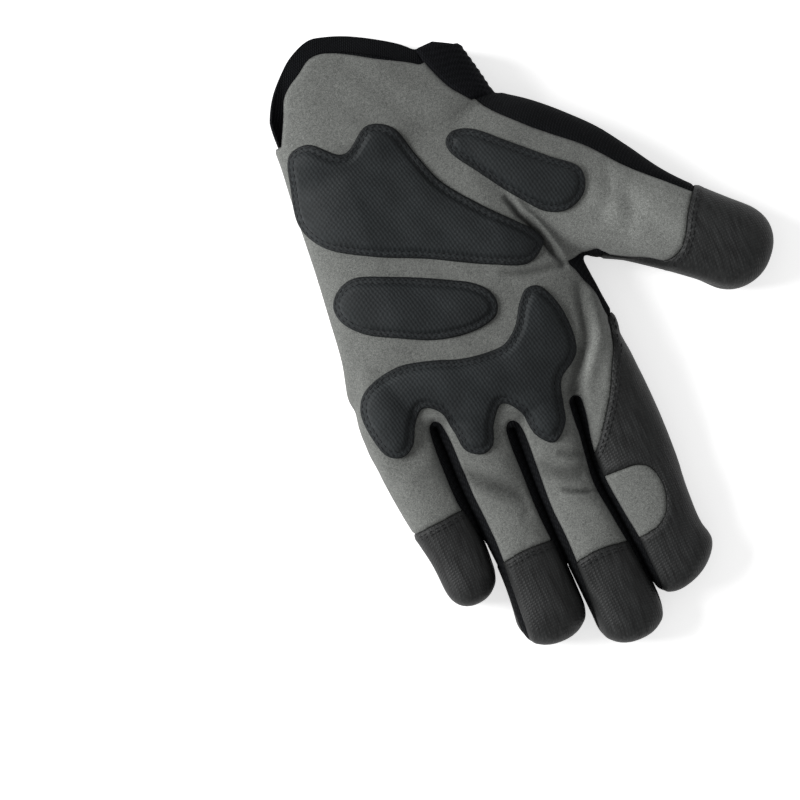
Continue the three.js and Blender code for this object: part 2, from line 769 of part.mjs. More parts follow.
const allCaps = Object.values(capRegions);
const darkCuts = [
  ...stripCuts,
  ...allCaps.map(cutFor),
  cutFor(guardRegions),
  cutFor(thumbCapRegions),
  cutFor(gussetRegions),
];
panels.palm_panel = without(cloth.intersect(fill([upper(everywhere)])), [
  ...darkCuts,
  cutFor(patchRegions),
  cutFor([thumbBandRegion, webRegion]),
  prism(pastPalmCuff, -tall, tall),
]);
panels.piping = without(cloth.intersect(fill(pipingRegions)), allCaps.map(cutFor));
panels.ribbed_panel = without(cloth.intersect(fill(ribbedRegions)), [
  ...allCaps.map(cutFor),
  cutFor(pipingRegions),
]);
panels.back_panel = without(
  cloth.intersect(fill([lower(everywhere), thumbBandRegion, webRegion])),
  [
    ...darkCuts,
    cutFor(ribbedRegions),
    cutFor(pipingRegions),
    cutFor(bindingRegions),
    prism(pastBackCuff, -tall, tall),
  ],
);

// Pads lie on the palm with a flat margin round a raised middle
const padBed = formAt(-seamGap);
const padLow = formAt(-padEdge - seamGap);
const padHigh = formAt(-padThickness - seamGap);
Object.entries(padOutlines).forEach(([name, points]) => {
  const outline = curve(points, true, points.length > 20 ? 1 : 2);
  const base = padLow.intersect(prism(outline, padFoot, tall));
  const crown = padHigh.intersect(prism(grow(outline, -padMargin), padFoot + padMargin, tall));
  panels[name] = without(base.add(crown).subtract(padBed), stripCuts);
});

// The strap lies under the cuff, its free end towards the thumb
const strapEdge = curve(onPalm([
  [-17.5, -43], [0, -52], [14.5, -55], [29, -49.3], [38, -38.7], [39, -33],
]));
const strapOutline = [
  ...curve(onPalm([[36, -28], [8, -28], [-10, -28.2], [-13.8, -30], [-16.5, -36]])),
  ...strapEdge.map((point) => new THREE.Vector2(point.x, point.y + strapInset)),
];
panels.wrist_strap = prism(strapOutline, 0, strapThickness);

// Materials
const grey = { color: 0x9a9c98, roughness: 0.95, metalness: 0 };
const pad = { color: 0x4b4f53, roughness: 0.8, metalness: 0 };
const cap = { color: 0x434447, roughness: 0.8, metalness: 0 };
const knit = { color: 0x26262a, roughness: 0.9, metalness: 0 };
const rib = { color: 0xb9b3a4, roughness: 0.95, metalness: 0 };
const cream = { color: 0xd8d3c4, roughness: 0.9, metalness: 0 };
const finishes = {
  palm_panel: grey,
  index_patch: grey,
  heel_pad: pad,
  thumb_pad: pad,
  mid_palm_pad: pad,
  knuckle_pad: pad,
  little_cap: cap,
  ring_cap: cap,
  middle_cap: cap,
  index_guard: cap,
  thumb_guard: cap,
  ribbed_panel: rib,
  piping: cream,
};

const glove = new THREE.Group();
Object.entries(panels).forEach(([name, solid]) => {
  const { vertProperties, triVerts } = solid.getMesh();
  const geometry = new THREE.BufferGeometry();
  geometry.setAttribute('position', new THREE.BufferAttribute(vertProperties, 3));
  geometry.setIndex(new THREE.BufferAttribute(triVerts, 1));
  geometry.computeVertexNormals();
  const mesh = new THREE.Mesh(geometry, new THREE.MeshStandardMaterial(finishes[name] ?? knit));
  mesh.name = name;
  glove.add(mesh);
});

// The origin goes under the middle of the glove, on the surface that it lies on
const box = new THREE.Box3().setFromObject(glove);
const middle = box.getCenter(new THREE.Vector3());
glove.position.set(-middle.x, -middle.y, -box.min.z);

export default glove;
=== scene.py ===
import json

import bpy
import numpy as np
from mathutils import Matrix, Vector


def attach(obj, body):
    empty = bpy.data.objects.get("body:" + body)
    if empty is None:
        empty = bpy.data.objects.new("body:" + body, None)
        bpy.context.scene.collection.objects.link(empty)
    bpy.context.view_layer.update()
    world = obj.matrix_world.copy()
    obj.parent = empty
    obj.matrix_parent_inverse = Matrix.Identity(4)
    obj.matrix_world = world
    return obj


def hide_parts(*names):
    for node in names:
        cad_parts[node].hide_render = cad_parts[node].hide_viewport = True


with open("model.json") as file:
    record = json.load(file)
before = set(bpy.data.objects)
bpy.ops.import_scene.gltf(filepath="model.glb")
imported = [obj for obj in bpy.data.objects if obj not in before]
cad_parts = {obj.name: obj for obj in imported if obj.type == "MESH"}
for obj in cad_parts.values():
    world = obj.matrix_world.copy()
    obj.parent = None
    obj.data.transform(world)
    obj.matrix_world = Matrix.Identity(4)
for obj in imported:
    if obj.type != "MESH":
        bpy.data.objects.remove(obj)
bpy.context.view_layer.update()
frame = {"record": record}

# The glove's pattern is drawn in millimetres, +Y to the fingertips and +X to the little
# finger. The middle of its plan lies over the frame's origin.
MM = 0.001
PATTERN_MIDDLE = (-32.12, 43.30)

# Driving sizes, the same as the solid model's
PALM_LENGTH = 150.0
PALM_HEIGHT = 27.0
CROTCH_LEAN = 23.0
CUP_DEPTH = 2.2
INDEX_WIDTH = 25.5
MIDDLE_WIDTH = 24.0
RING_WIDTH = 25.6
LITTLE_WIDTH = 26.0
FINGER_HEIGHT = 19.0
FINGER_GAP = 0.9
SKIN_GAP = -0.7
THUMB_WIDTH = 32.0
THUMB_LENGTH = 97.0
THUMB_HEIGHT = 22.0
THUMB_ANGLE = np.radians(47.8)
WALL = 1.4
SEAM_HEIGHT = 7.0
SEAM_SLIT = 0.12
STRAP_THICKNESS = 2.2
STRAP_LIFT = 2.5
KNUCKLE_WIDTH = INDEX_WIDTH + MIDDLE_WIDTH + RING_WIDTH + LITTLE_WIDTH + 3 * FINGER_GAP

# How finely the skin is made
VOXEL = 0.83
HAND_SIDES = 96
FINGER_SIDES = 64
ROW_STEP = 1.6


def table(columns, *rows):
    return dict(zip(columns.split(), np.array(rows, float).T))


def hermite(keys, values, at):
    """A smooth curve through values at keys, read at other places."""
    at = np.clip(at, keys[0], keys[-1])
    slopes = np.gradient(values, keys)
    i = np.clip(np.searchsorted(keys, at, side="right") - 1, 0, len(keys) - 2)
    step = keys[i + 1] - keys[i]
    t = (at - keys[i]) / step
    start = (1 + 2 * t) * (1 - t) ** 2 * values[i] + t * (1 - t) ** 2 * step * slopes[i]
    end = t * t * (3 - 2 * t) * values[i + 1] + t * t * (t - 1) * step * slopes[i + 1]
    return start + end


def read(rows, at, column):
    return hermite(rows["at"], rows[column], np.asarray(at, float))


def smoothstep(low, high, value):
    t = np.clip((value - low) / (high - low), 0, 1)
    return t * t * (3 - 2 * t)


def ridge(value, at, wide):
    """A rounded ridge of height 1 and of this width where the value is at its place."""
    return np.exp(-(((value - at) / wide) ** 2))


def curve(points, closed=False, steps=8):
    """A smooth line through points, with a few steps between each two."""
    points = np.array(points, float)
    wrap = 3
    if closed:
        points = np.concatenate([points[-wrap:], points, points[: wrap + 1]])
    chords = np.linalg.norm(np.diff(points, axis=0), axis=1)
    keys = np.concatenate([[0], np.cumsum(np.sqrt(chords))])
    first, last = (wrap, len(keys) - wrap - 1) if closed else (0, len(keys) - 1)
    spans = [np.linspace(keys[i], keys[i + 1], steps, endpoint=False) for i in range(first, last)]
    at = np.concatenate(spans + ([] if closed else [[keys[last]]]))
    return np.stack([hermite(keys, points[:, axis], at) for axis in range(2)], axis=1)


def on_palm(rows):
    """Points in hundredths of the knuckle width and of the palm length."""
    return np.array(rows, float) * (KNUCKLE_WIDTH / 100, PALM_LENGTH / 100)


# The slits between the fingers, with their sideways drift in hundredths of the middle
# finger's width, along hundredths of its length
MIDDLE_LENGTH = 92.0
SLITS = {
    "index_middle": table("at drift", (0, 0), (10, 4), (20, 9), (32, 11), (46, 5), (62, -1), (80, -7)),
    "middle_ring": table("at drift", (0, 0), (40, 3), (80, -1)),
    "ring_little": table("at drift", (0, 0), (30, -1), (52, -5)),
}
SLIT_START = {"index_middle": 53.3, "middle_ring": 53.1, "ring_little": 46.2}
MIDDLE_RING_AT = -0.005 * KNUCKLE_WIDTH
SLIT_ACROSS = {
    "index_middle": MIDDLE_RING_AT - MIDDLE_WIDTH - FINGER_GAP,
    "middle_ring": MIDDLE_RING_AT,
    "ring_little": MIDDLE_RING_AT + RING_WIDTH + FINGER_GAP,
}


def slit_along(name):
    return SLIT_START[name] * PALM_LENGTH / 100


def slit_x(name, y):
    share = 100 * (np.asarray(y, float) - slit_along(name)) / MIDDLE_LENGTH
    return SLIT_ACROSS[name] + read(SLITS[name], share, "drift") * MIDDLE_WIDTH / 100


def slit_run(name, low, high, count=16):
    y = np.linspace(low, high, count)
    return np.stack([slit_x(name, y), y], axis=1)


# The free sides of the index and the little finger, outside the finger's own width
INDEX_SIDE = table("at out", (-42, -16), (-8, -1), (42, 4), (62, 0), (78, 1), (86, 6), (100, 3))
LITTLE_SIDE = table("at out", (-42, -18), (-8, 0), (16, -3), (40, -10), (56, -17), (72, -25), (88, -28))

FINGERS = {
    "index": dict(width=INDEX_WIDTH, length=80.5, root=51.0, left=None, right="index_middle",
                  slant=0.3, round=0.42),
    "middle": dict(width=MIDDLE_WIDTH, length=MIDDLE_LENGTH, root=51.5, left="index_middle",
                   right="middle_ring", slant=0.0, round=0.5),
    "ring": dict(width=RING_WIDTH, length=87.0, root=48.0, left="middle_ring",
                 right="ring_little", slant=0.0, round=0.48),
    "little": dict(width=LITTLE_WIDTH, length=68.3, root=44.0, left="ring_little", right=None,
                   slant=0.06, round=0.4),
}


def root_y(finger):
    return finger["root"] * PALM_LENGTH / 100


def tip_y(finger):
    return root_y(finger) + finger["length"]


BEYOND_TIPS = max(map(tip_y, FINGERS.values())) + FINGER_HEIGHT
FAR = PALM_LENGTH
RADIAL_EDGE = SLIT_ACROSS["index_middle"] - FINGER_GAP / 2 - INDEX_WIDTH
ULNAR_EDGE = SLIT_ACROSS["ring_little"] + FINGER_GAP / 2 + LITTLE_WIDTH


# Where two fingers part near their tips: how far the side of the left one and of the right
# one steps back from the slit, along the pattern
PARTINGS = {
    "index_middle": table("at left right", (118, 0, 0), (144, 0, 0), (154, 0.6, 0.3)),
    "middle_ring": table("at left right", (123, 0, 0), (133, 0.3, 0.2), (146, 0.9, 0.5), (156, 1.5, 0.8)),
    "ring_little": table(
        "at left right", (106, 0, 0), (116, 0.3, 0.6), (126, 1.0, 1.5), (132, 1.0, 1.9), (139, 0.4, 2.2),
        (147, -0.3, 2.2)),
}


def sides_of(finger, y):
    share = 100 * (y - root_y(finger)) / finger["length"]
    if finger["left"]:
        left = slit_x(finger["left"], y) + SKIN_GAP / 2 + read(PARTINGS[finger["left"]], y, "right")
    else:
        out = read(INDEX_SIDE, share, "out")
        left = SLIT_ACROSS[finger["right"]] - FINGER_GAP / 2 - INDEX_WIDTH * (1 + out / 100)
    if finger["right"]:
        right = slit_x(finger["right"], y) - SKIN_GAP / 2 - read(PARTINGS[finger["right"]], y, "left")
    else:
        out = read(LITTLE_SIDE, share, "out")
        right = SLIT_ACROSS[finger["left"]] + FINGER_GAP / 2 + LITTLE_WIDTH * (1 + out / 100)
    return left, right


# One section across the form: squarer below than above, and pressed flat where it rests
BELLY_SHARE = 0.42
SAG_SHARE = 0.1
ROUND_ABOVE = 2.3
ROUND_BELOW = 3.0


def section(left, right, height, floor, sides, cup=0.0):
    angle = -2 * np.pi * np.arange(sides) / sides
    across, up = np.cos(angle), np.sin(angle)
    power = np.where(up > 0, 2 / ROUND_ABOVE, 2 / ROUND_BELOW)
    shape_x = np.sign(across) * np.abs(across) ** power
    rise = np.abs(up) ** power
    belly = floor + height * BELLY_SHARE
    above = belly + (floor + height - belly) * rise - cup * np.maximum(0, 1 - 4 * shape_x**2)
    below = belly - height * (BELLY_SHARE + SAG_SHARE) * rise
    z = np.maximum(np.where(up > 0, above, below), floor)
    return (left + right) / 2 + (right - left) / 2 * shape_x, z


def loft(rings):
    """The faces and points of a closed skin over rings, each end shut by a fan."""
    rings = np.array(rings)
    count, sides = rings.shape[:2]
    row, side = np.meshgrid(np.arange(count - 1), np.arange(sides), indexing="ij")
    after = (side + 1) % sides
    quads = np.stack([row * sides + side, row * sides + after,
                      (row + 1) * sides + after, (row + 1) * sides + side], axis=-1)
    faces = [list(face) for face in quads.reshape(-1, 4)]
    points = np.concatenate([rings.reshape(-1, 3), rings[[0, -1]].mean(axis=1)])
    for first, centre in ((0, len(points) - 2), ((count - 1) * sides, len(points) - 1)):
        faces += [[first + i, first + (i + 1) % sides, centre] for i in range(sides)]
    return points, faces


HAND_ROWS = table(
    "at radial ulnar height cup",
    (-58, -27, 29, 84, 0), (-47, -32.4, 37.2, 86, 0), (-39, -35.3, 40, 88, 0),
    (-27.5, -39, 40.8, 94, 30), (-20, -40.6, 41.8, 98, 70), (-12, -41.6, 42.6, 100, 100),
    (0, -43.5, 43.8, 100, 100), (12, -45, 45.5, 98, 80), (23, -46.7, 47, 94, 40),
    (32, -47.9, 48.9, 89, 0), (40, -49, 50, 84, 0), (47, -48.6, 49.6, 76, 0),
)
BEND_START = 12.0
STRAP_START = -27.5
STRAP_RUN = 8.0
CROTCH_REACH = 0.5
INDEX_END = 0.51
LITTLE_END = 0.42
HAND_ROUND = 4.0
HAND_DROP = 0.2


def crotch_y(x):
    """Where the palm ends, from the index side to the little finger."""
    across = [RADIAL_EDGE] + [SLIT_ACROSS[name] for name in SLITS] + [ULNAR_EDGE]
    along = [INDEX_END * PALM_LENGTH]
    along += [slit_along(name) + CROTCH_REACH for name in SLITS]
    along += [LITTLE_END * PALM_LENGTH]
    return np.interp(x, across, along)


def hand_form():
    rings = []
    last = HAND_ROWS["at"][-1]
    steps = int((last - HAND_ROWS["at"][0]) * PALM_LENGTH / 100 / ROW_STEP)
    for at in np.linspace(HAND_ROWS["at"][0], last, steps):
        radial, ulnar, tall, cup = (read(HAND_ROWS, at, key) for key in
                                    ("radial", "ulnar", "height", "cup"))
        ending = np.clip(1 - (last - at) / HAND_ROUND, 0, 1)
        height = tall * PALM_HEIGHT / 100 * (1 - HAND_DROP * ending**2)
        floor = smoothstep(0, STRAP_RUN, STRAP_START + STRAP_RUN - at) * STRAP_LIFT
        x, z = section(radial * KNUCKLE_WIDTH / 100, ulnar * KNUCKLE_WIDTH / 100, height, floor,
                       HAND_SIDES, cup * CUP_DEPTH / 100)
        bend = np.clip((at - BEND_START) / (last - BEND_START), 0, 1) ** 2
        end = crotch_y(x) - CROTCH_LEAN * (1 - z / height)
        y = at * PALM_LENGTH / 100 + bend * (end - last * PALM_LENGTH / 100)
        rings.append(np.stack([x, y, z], axis=1))
    return loft(rings)


FINGER_ROWS = table("at height", (-42, 108), (-8, 110), (16, 103), (34, 95), (54, 97), (76, 92), (99, 90))
TIP_SQUARENESS = 2.3
TIP_RISE = 0.12
TIP_STEPS = 14
SMALLEST = 0.03
SLANT_RUN = 2.2


def tip_rows(round_by):
    angle = np.pi / 2 * np.linspace(0, 1, TIP_STEPS)
    back = round_by * (1 - np.sin(angle) ** (2 / TIP_SQUARENESS))
    left = np.maximum(np.cos(angle), 0) ** (2 / TIP_SQUARENESS)
    return zip(back, np.maximum(left, SMALLEST))


def finger_form(finger):
    tip = tip_y(finger)
    round_by = finger["round"] * finger["width"]
    first = root_y(finger) + FINGER_ROWS["at"][0] * finger["length"] / 100
    body = [(y, 1.0) for y in np.arange(first, tip - round_by - ROW_STEP / 2, ROW_STEP)]
    body += [(tip - back, left) for back, left in tip_rows(round_by)]
    rings = []
    for y, narrow in body:
        left, right = sides_of(finger, y)
        share = 100 * (y - root_y(finger)) / finger["length"]
        height = read(FINGER_ROWS, share, "height") * FINGER_HEIGHT / 100
        centre = (left + right) / 2
        half = (right - left) / 2 * narrow
        floor = height * (1 - narrow) * (BELLY_SHARE + TIP_RISE)
        x, z = section(centre - half, centre + half, height * narrow, floor, FINGER_SIDES)
        slant = finger["slant"] * smoothstep(tip - SLANT_RUN * round_by, tip, y)
        rings.append(np.stack([x, y + slant * (x - centre), z], axis=1))
    return loft(rings)


THUMB_ROOT = on_palm([[-38.7, -5.3]])[0]
THUMB_AXIS = np.array([-np.sin(THUMB_ANGLE), np.cos(THUMB_ANGLE)])
THUMB_SIDE = np.array([np.cos(THUMB_ANGLE), np.sin(THUMB_ANGLE)])
THUMB_ROWS = table(
    "at outer inner height",
    (-37, -35, 30, 108), (-25, -68, 40, 114), (-13, -76, 50, 118), (10, -78, 65, 118),
    (22, -75, 70, 113), (34, -67, 69, 108), (50, -55, 58, 99), (76, -49, 50, 93), (99, -49, 49, 90),
)
THUMB_ROUND = 0.5


def on_thumb(rows):
    """Points in hundredths along the thumb and across it."""
    along, side = np.array(rows, float).T[:, :, None] / 100
    return THUMB_ROOT + along * THUMB_LENGTH * THUMB_AXIS + side * THUMB_WIDTH * THUMB_SIDE


def thumb_form():
    round_by = THUMB_ROUND * THUMB_WIDTH
    first = THUMB_ROWS["at"][0] * THUMB_LENGTH / 100
    body = [(along, 1.0) for along in np.arange(first, THUMB_LENGTH - round_by, ROW_STEP)]
    body += [(THUMB_LENGTH - back, left) for back, left in tip_rows(round_by)]
    rings = []
    for along, narrow in body:
        outer, inner, tall = (read(THUMB_ROWS, 100 * along / THUMB_LENGTH, key)
                              for key in ("outer", "inner", "height"))
        height = tall * THUMB_HEIGHT / 100
        centre = (outer + inner) / 200 * THUMB_WIDTH
        half = (inner - outer) / 200 * THUMB_WIDTH * narrow
        floor = height * (1 - narrow) * (BELLY_SHARE + TIP_RISE)
        across, z = section(centre - half, centre + half, height * narrow, floor, FINGER_SIDES)
        spot = THUMB_ROOT + along * THUMB_AXIS + across[:, None] * THUMB_SIDE
        rings.append(np.concatenate([spot, z[:, None]], axis=1))
    return loft(rings)


# While the forms are joined, the fingers stand apart, so that they don't grow together
SPREAD = 3.2
SPREAD_RUN = 10.0


def slit_shares(points):
    """How far each slit is opened at each point, from 0 at the palm's slanted end."""
    end_height = PALM_HEIGHT * HAND_ROWS["height"][-1] / 100
    lean = CROTCH_LEAN * (1 - np.clip(points[:, 2] / end_height, 0, 1))
    return {name: smoothstep(0, SPREAD_RUN, points[:, 1] - slit_along(name) - CROTCH_REACH + lean)
            for name in SLITS}


def spread_finger(points, name):
    order = list(FINGERS).index(name)
    moved = points.copy()
    for place, share in enumerate(slit_shares(points).values()):
        moved[:, 0] += np.where(place < order, 0.5, -0.5) * SPREAD * share
    return moved


def close_fingers(points):
    shares = slit_shares(points)
    moved = points.copy()
    for place, name in enumerate(SLITS):
        centre = slit_x(name, points[:, 1])
        for other, share in enumerate(shares.values()):
            centre += SPREAD * share * (0.5 * (other < place) - 0.5 * (other > place))
        moved[:, 0] += np.where(points[:, 0] > centre, -0.5, 0.5) * SPREAD * shares[name]
    return moved


def mesh_arrays(obj):
    """The points and faces of an object with its modifiers, every face of four corners."""
    evaluated = obj.evaluated_get(bpy.context.evaluated_depsgraph_get())
    mesh = evaluated.to_mesh()
    points = np.empty(len(mesh.vertices) * 3, np.float32)
    mesh.vertices.foreach_get("co", points)
    corners = np.empty(len(mesh.loops), np.int32)
    mesh.loops.foreach_get("vertex_index", corners)
    evaluated.to_mesh_clear()
    return points.reshape(-1, 3).astype(float), corners.reshape(-1, 4)


def joined_skin():
    forms = [hand_form(), thumb_form()]
    for name, finger in FINGERS.items():
        points, faces = finger_form(finger)
        forms.append((spread_finger(points, name), faces))
    all_points, all_faces, base = [], [], 0
    for points, faces in forms:
        all_points.append(points)
        all_faces += [[corner + base for corner in face] for face in faces]
        base += len(points)
    mesh = bpy.data.meshes.new("skin")
    mesh.from_pydata(np.concatenate(all_points).tolist(), [], all_faces)
    obj = bpy.data.objects.new("skin", mesh)
    bpy.context.scene.collection.objects.link(obj)
    remesh = obj.modifiers.new("join", "REMESH")
    remesh.mode = "VOXEL"
    remesh.voxel_size = VOXEL
    points, quads = mesh_arrays(obj)
    bpy.data.objects.remove(obj)
    bpy.data.meshes.remove(mesh)
    return close_fingers(points), quads


def edges_of(faces, count):
    sides = faces.shape[1]
    pairs = np.concatenate([faces[:, [i, (i + 1) % sides]] for i in range(sides)]).astype(np.int64)
    pairs.sort(axis=1)
    keys = np.unique(pairs[:, 0] * count + pairs[:, 1])
    return np.stack([keys // count, keys % count], axis=1)


def neighbour_mean(values, edges):
    a, b = edges.T
    count = len(values)
    degree = np.bincount(a, minlength=count) + np.bincount(b, minlength=count)
    columns = [np.bincount(a, values[b, c], count) + np.bincount(b, values[a, c], count)
               for c in range(values.shape[1])]
    return np.stack(columns, axis=1) / np.maximum(degree, 1)[:, None]


def relax(points, edges, rounds, share=1.0, grow=0.53, shrink=0.5):
    """Smooths points without shrinking the form."""
    for _ in range(rounds):
        points = points + shrink * share * (neighbour_mean(points, edges) - points)
        points = points - grow * share * (neighbour_mean(points, edges) - points)
    return points


def normals_of(points, faces):
    corners = points[faces]
    flat = np.cross(corners[:, 1] - corners[:, 0], corners[:, 2] - corners[:, 0])
    if faces.shape[1] == 4:
        flat = flat + np.cross(corners[:, 2] - corners[:, 0], corners[:, 3] - corners[:, 0])
    total = np.zeros_like(points)
    for axis in range(3):
        for corner in range(faces.shape[1]):
            total[:, axis] += np.bincount(faces[:, corner], flat[:, axis], len(points))
    return total / np.maximum(np.linalg.norm(total, axis=1), 1e-12)[:, None]


def triangles_of(points, quads):
    a, b, c, d = (points[quads[:, i]] for i in range(4))
    short = np.linalg.norm(a - c, axis=1) < np.linalg.norm(b - d, axis=1)
    one = np.where(short[:, None], quads[:, [0, 1, 2]], quads[:, [0, 1, 3]])
    two = np.where(short[:, None], quads[:, [0, 2, 3]], quads[:, [1, 2, 3]])
    return np.concatenate([one, two])


def to_polyline(line, spots):
    """Distance from each spot to an open line, and how far along the line that is."""
    nearest = np.full(len(spots), np.inf)
    along = np.zeros(len(spots))
    run = 0.0
    for start, end in zip(line[:-1], line[1:]):
        step = end - start
        length = np.linalg.norm(step)
        t = np.clip((spots - start) @ step / max(length, 1e-9) ** 2, 0, 1)
        gap = np.linalg.norm(spots - start - t[:, None] * step, axis=1)
        closer = gap < nearest
        nearest = np.where(closer, gap, nearest)
        along = np.where(closer, run + t * length, along)
        run += length
    return nearest, along / run


def within(outline, spots):
    """Distance from each spot to a closed outline, negative inside it."""
    outline = np.asarray(outline, float)
    nearest = np.full(len(spots), np.inf)
    inside = np.zeros(len(spots), bool)
    x, y = spots[:, 0], spots[:, 1]
    for (ax, ay), (bx, by) in zip(outline, np.roll(outline, -1, axis=0)):
        dx, dy = bx - ax, by - ay
        length = dx * dx + dy * dy
        if length < 1e-12:
            continue
        t = np.clip(((x - ax) * dx + (y - ay) * dy) / length, 0, 1)
        nearest = np.minimum(nearest, (x - ax - t * dx) ** 2 + (y - ay - t * dy) ** 2)
        if dy != 0:
            inside ^= ((ay > y) != (by > y)) & (x < ax + (y - ay) * dx / dy)
    return np.where(inside, -1, 1) * np.sqrt(nearest)


# Creases and folds of the palm's cloth: a line, how deep and wide the valley is, how high the
# fold beside it stands, on which side of the line it is, and how much painted shade darkens the valley
CREASES = (
    ([(-29.5, -1), (-31, 3.2), (-32.3, 7.8), (-34.6, 11.9), (-36.8, 18.4), (-38.3, 24.3), (-40.8, 32.5)],
     2.6, 1.15, 1.5, 1, 0.75),
    ([(-41.5, 31.5), (-36, 30.3), (-32, 29.8), (-25, 28), (-17, 24)], 1.0, 1.3, 0.7, -1, 0.35),
    ([(-43, 38), (-41.6, 45), (-37.8, 58.7), (-33.8, 63.9), (-29.5, 70), (-25.8, 76.7), (-23.5, 84)],
     2.4, 2.1, 1.5, 1, 0.45),
    ([(-23.5, 113.5), (-15, 110.5), (-8, 107)], 1.4, 0.9, 0.9, 1, 0.6),
    ([(-23, 99), (-17.5, 97), (-12, 94)], 1.0, 1.5, 0.5, 1, 0.35),
    ([(-23, 106), (-13, 103), (-2, 95)], 1.2, 2.6, 0.9, -1, 0.35),
    ([(24.5, 87), (17, 94), (9, 100), (3, 106)], 1.7, 3.0, 1.2, -1, 0.5),
    ([(22, 100), (14, 106), (6, 113)], 0.4, 2.6, 0.4, -1, 0.0),
    ([(28, 68), (36, 74), (48, 77)], 0.5, 3.0, 0.4, 1, 0.1),
    ([(-66, 31), (-71, 22), (-73, 10)], 0.5, 3.0, 0.4, 1, 0.05),
    ([(-58, 22), (-66, 12), (-70, 0)], 0.35, 2.5, 0.3, 1, 0.05),
)
# Where a fold's crest lies and how wide it is, in widths of its valley
FOLD_OUT = 2.2
FOLD_WIDTH = 1.3


# The slow and the quick swell of loose cloth, in millimetres
SLOW_SWELL = 0.22
QUICK_SWELL = 0.14


def swells(x, y):
    """How far the cloth stands up in swells that run into one another, unevenly spaced."""
    slow = SLOW_SWELL * np.sin(x / 5.1 + 1.3 * np.sin(y / 9.0)) * np.sin(y / 7.3 + 0.7)
    return slow + QUICK_SWELL * np.sin(x / 2.9 + y / 4.1 + 2.0 * np.sin(x / 11.0))


def wrinkled(points, normals):
    """The skin with its creases, and the painted shade of each point that lies in one."""
    shift = np.zeros(len(points))
    dark = np.zeros(len(points))
    upward = np.clip(normals[:, 2] * 2, 0, 1)
    for traced, deep, wide, fold, fold_side, shade in CREASES:
        line = curve(traced, steps=6)
        reach = within(np.concatenate([line, line[::-1]]), points[:, :2])
        near = np.flatnonzero(np.abs(reach) < 5 * wide)
        gap, along = to_polyline(line, points[near, :2])
        place = np.clip((along * (len(line) - 1)).astype(int), 0, len(line) - 2)
        step = line[place + 1] - line[place]
        off = points[near, :2] - line[place]
        turn = np.sign(step[:, 0] * off[:, 1] - step[:, 1] * off[:, 0]) * fold_side
        fade = np.sqrt(np.clip(4 * along * (1 - along), 0, 1)) * upward[near]
        valley = ridge(gap, 0, wide)
        beside = ridge(gap, FOLD_OUT * wide, FOLD_WIDTH * wide) * (turn > 0)
        shift[near] += fade * (fold * beside - deep * valley)
        # Painted shade in each crease's valley, darkest at the bottom of the valley
        dark[near] = np.maximum(dark[near], fade * shade * valley)
    swell = swells(points[:, 0], points[:, 1])
    swell *= smoothstep(0.2, 0.7, normals[:, 2])
    rests = smoothstep(1.0, 5.0, points[:, 2]) * beside_slits(points[:, 0], points[:, 1])
    return points + normals * ((shift + swell) * rests)[:, None], dark


# Spots of painted light, and one of painted shade on the cuff: place, reach and share
PAINTED_LIGHT_SPOTS = (((-70, 20), 18, 0.75), ((-85, 32), 12, 0.2), ((-38, 66), 10, 0.35), ((11, 114), 11, 0.12),
       ((-12, 122), 12, 0.15), ((5, -55), 25, -0.06))


# The share of the colour from the spots of painted light and shade
def painted_spot_share(spots):
    share = np.ones(len(spots))
    for middle, reach, amount in PAINTED_LIGHT_SPOTS:
        share += amount * np.exp(-((spots - middle) ** 2).sum(axis=1) / reach ** 2)
    return share


def beside_slits(x, y):
    """From 0 on a slit between two fingers to 1 a little way off it."""
    share = np.ones_like(x)
    for name in SLITS:
        off = np.where(y > slit_along(name) - 4, np.abs(x - slit_x(name, y)), np.inf)
        share = np.minimum(share, smoothstep(1.5, 6.0, off))
    return share


# Panels are fields over the skin: negative inside, in millimetres from the border
def minus(field, *cutters):
    for cutter in cutters:
        field = np.maximum(field, SEAM_SLIT - cutter)
    return field


def on_index(rows):
    """Points in hundredths of the index finger's width from its middle, and of its length."""
    across, along = np.array(rows, float).T
    return np.stack([RADIAL_EDGE + INDEX_WIDTH * (0.5 + across / 100),
                     root_y(FINGERS["index"]) + along * FINGERS["index"]["length"] / 100], axis=1)


STRIP_WIDTH = 2.8
STRIP_NOSE = 2.4
STRIP_END = 0.98
# The block in the crotch: its half width, its ends along the slit, its top, and the height over
# which the crotch leans back
CROTCH_HALF = 3.2
CROTCH_BEFORE = 3
CROTCH_AFTER = 2
CROTCH_TOP = 12.0
CROTCH_TALL = 20
# How far a strip shows on each side of its slit, along the slit in millimetres
STRIP_HALVES = {
    "index_middle": table(
        "at left right", (0, 1.9, 1.9), (8, 1.9, 1.9), (15, 1.3, 1.4), (22, 1.2, 1.4),
        (30, 1.8, 1.9), (46, 1.9, 1.8), (57, 2.5, 1.3), (78, 1.8, 0.6), (92, 0.7, 0.3)),
    "middle_ring": table(
        "at left right", (0, 2.0, 2.0), (5, 2.6, 2.5), (20, 2.6, 2.4), (36, 2.4, 2.2),
        (46, 3.0, 1.5), (60, 2.8, 0.9), (76, 1.8, 0.5), (90, 0.7, 0.3)),
    "ring_little": table(
        "at left right", (0, 1.8, 1.6), (7, 2.7, 2.5), (20, 2.9, 2.9), (31, 3.0, 2.8),
        (40, 3.2, 1.4), (60, 2.8, 0.7), (66, 2.5, 0.8), (72, 2.2, 3.0), (92, 0.9, 3.0)),
}
CAP_LINES = {"middle": (62, 60.5, 62.5), "ring": (59, 58.3, 60.5), "little": (50, 51.5, 55)}


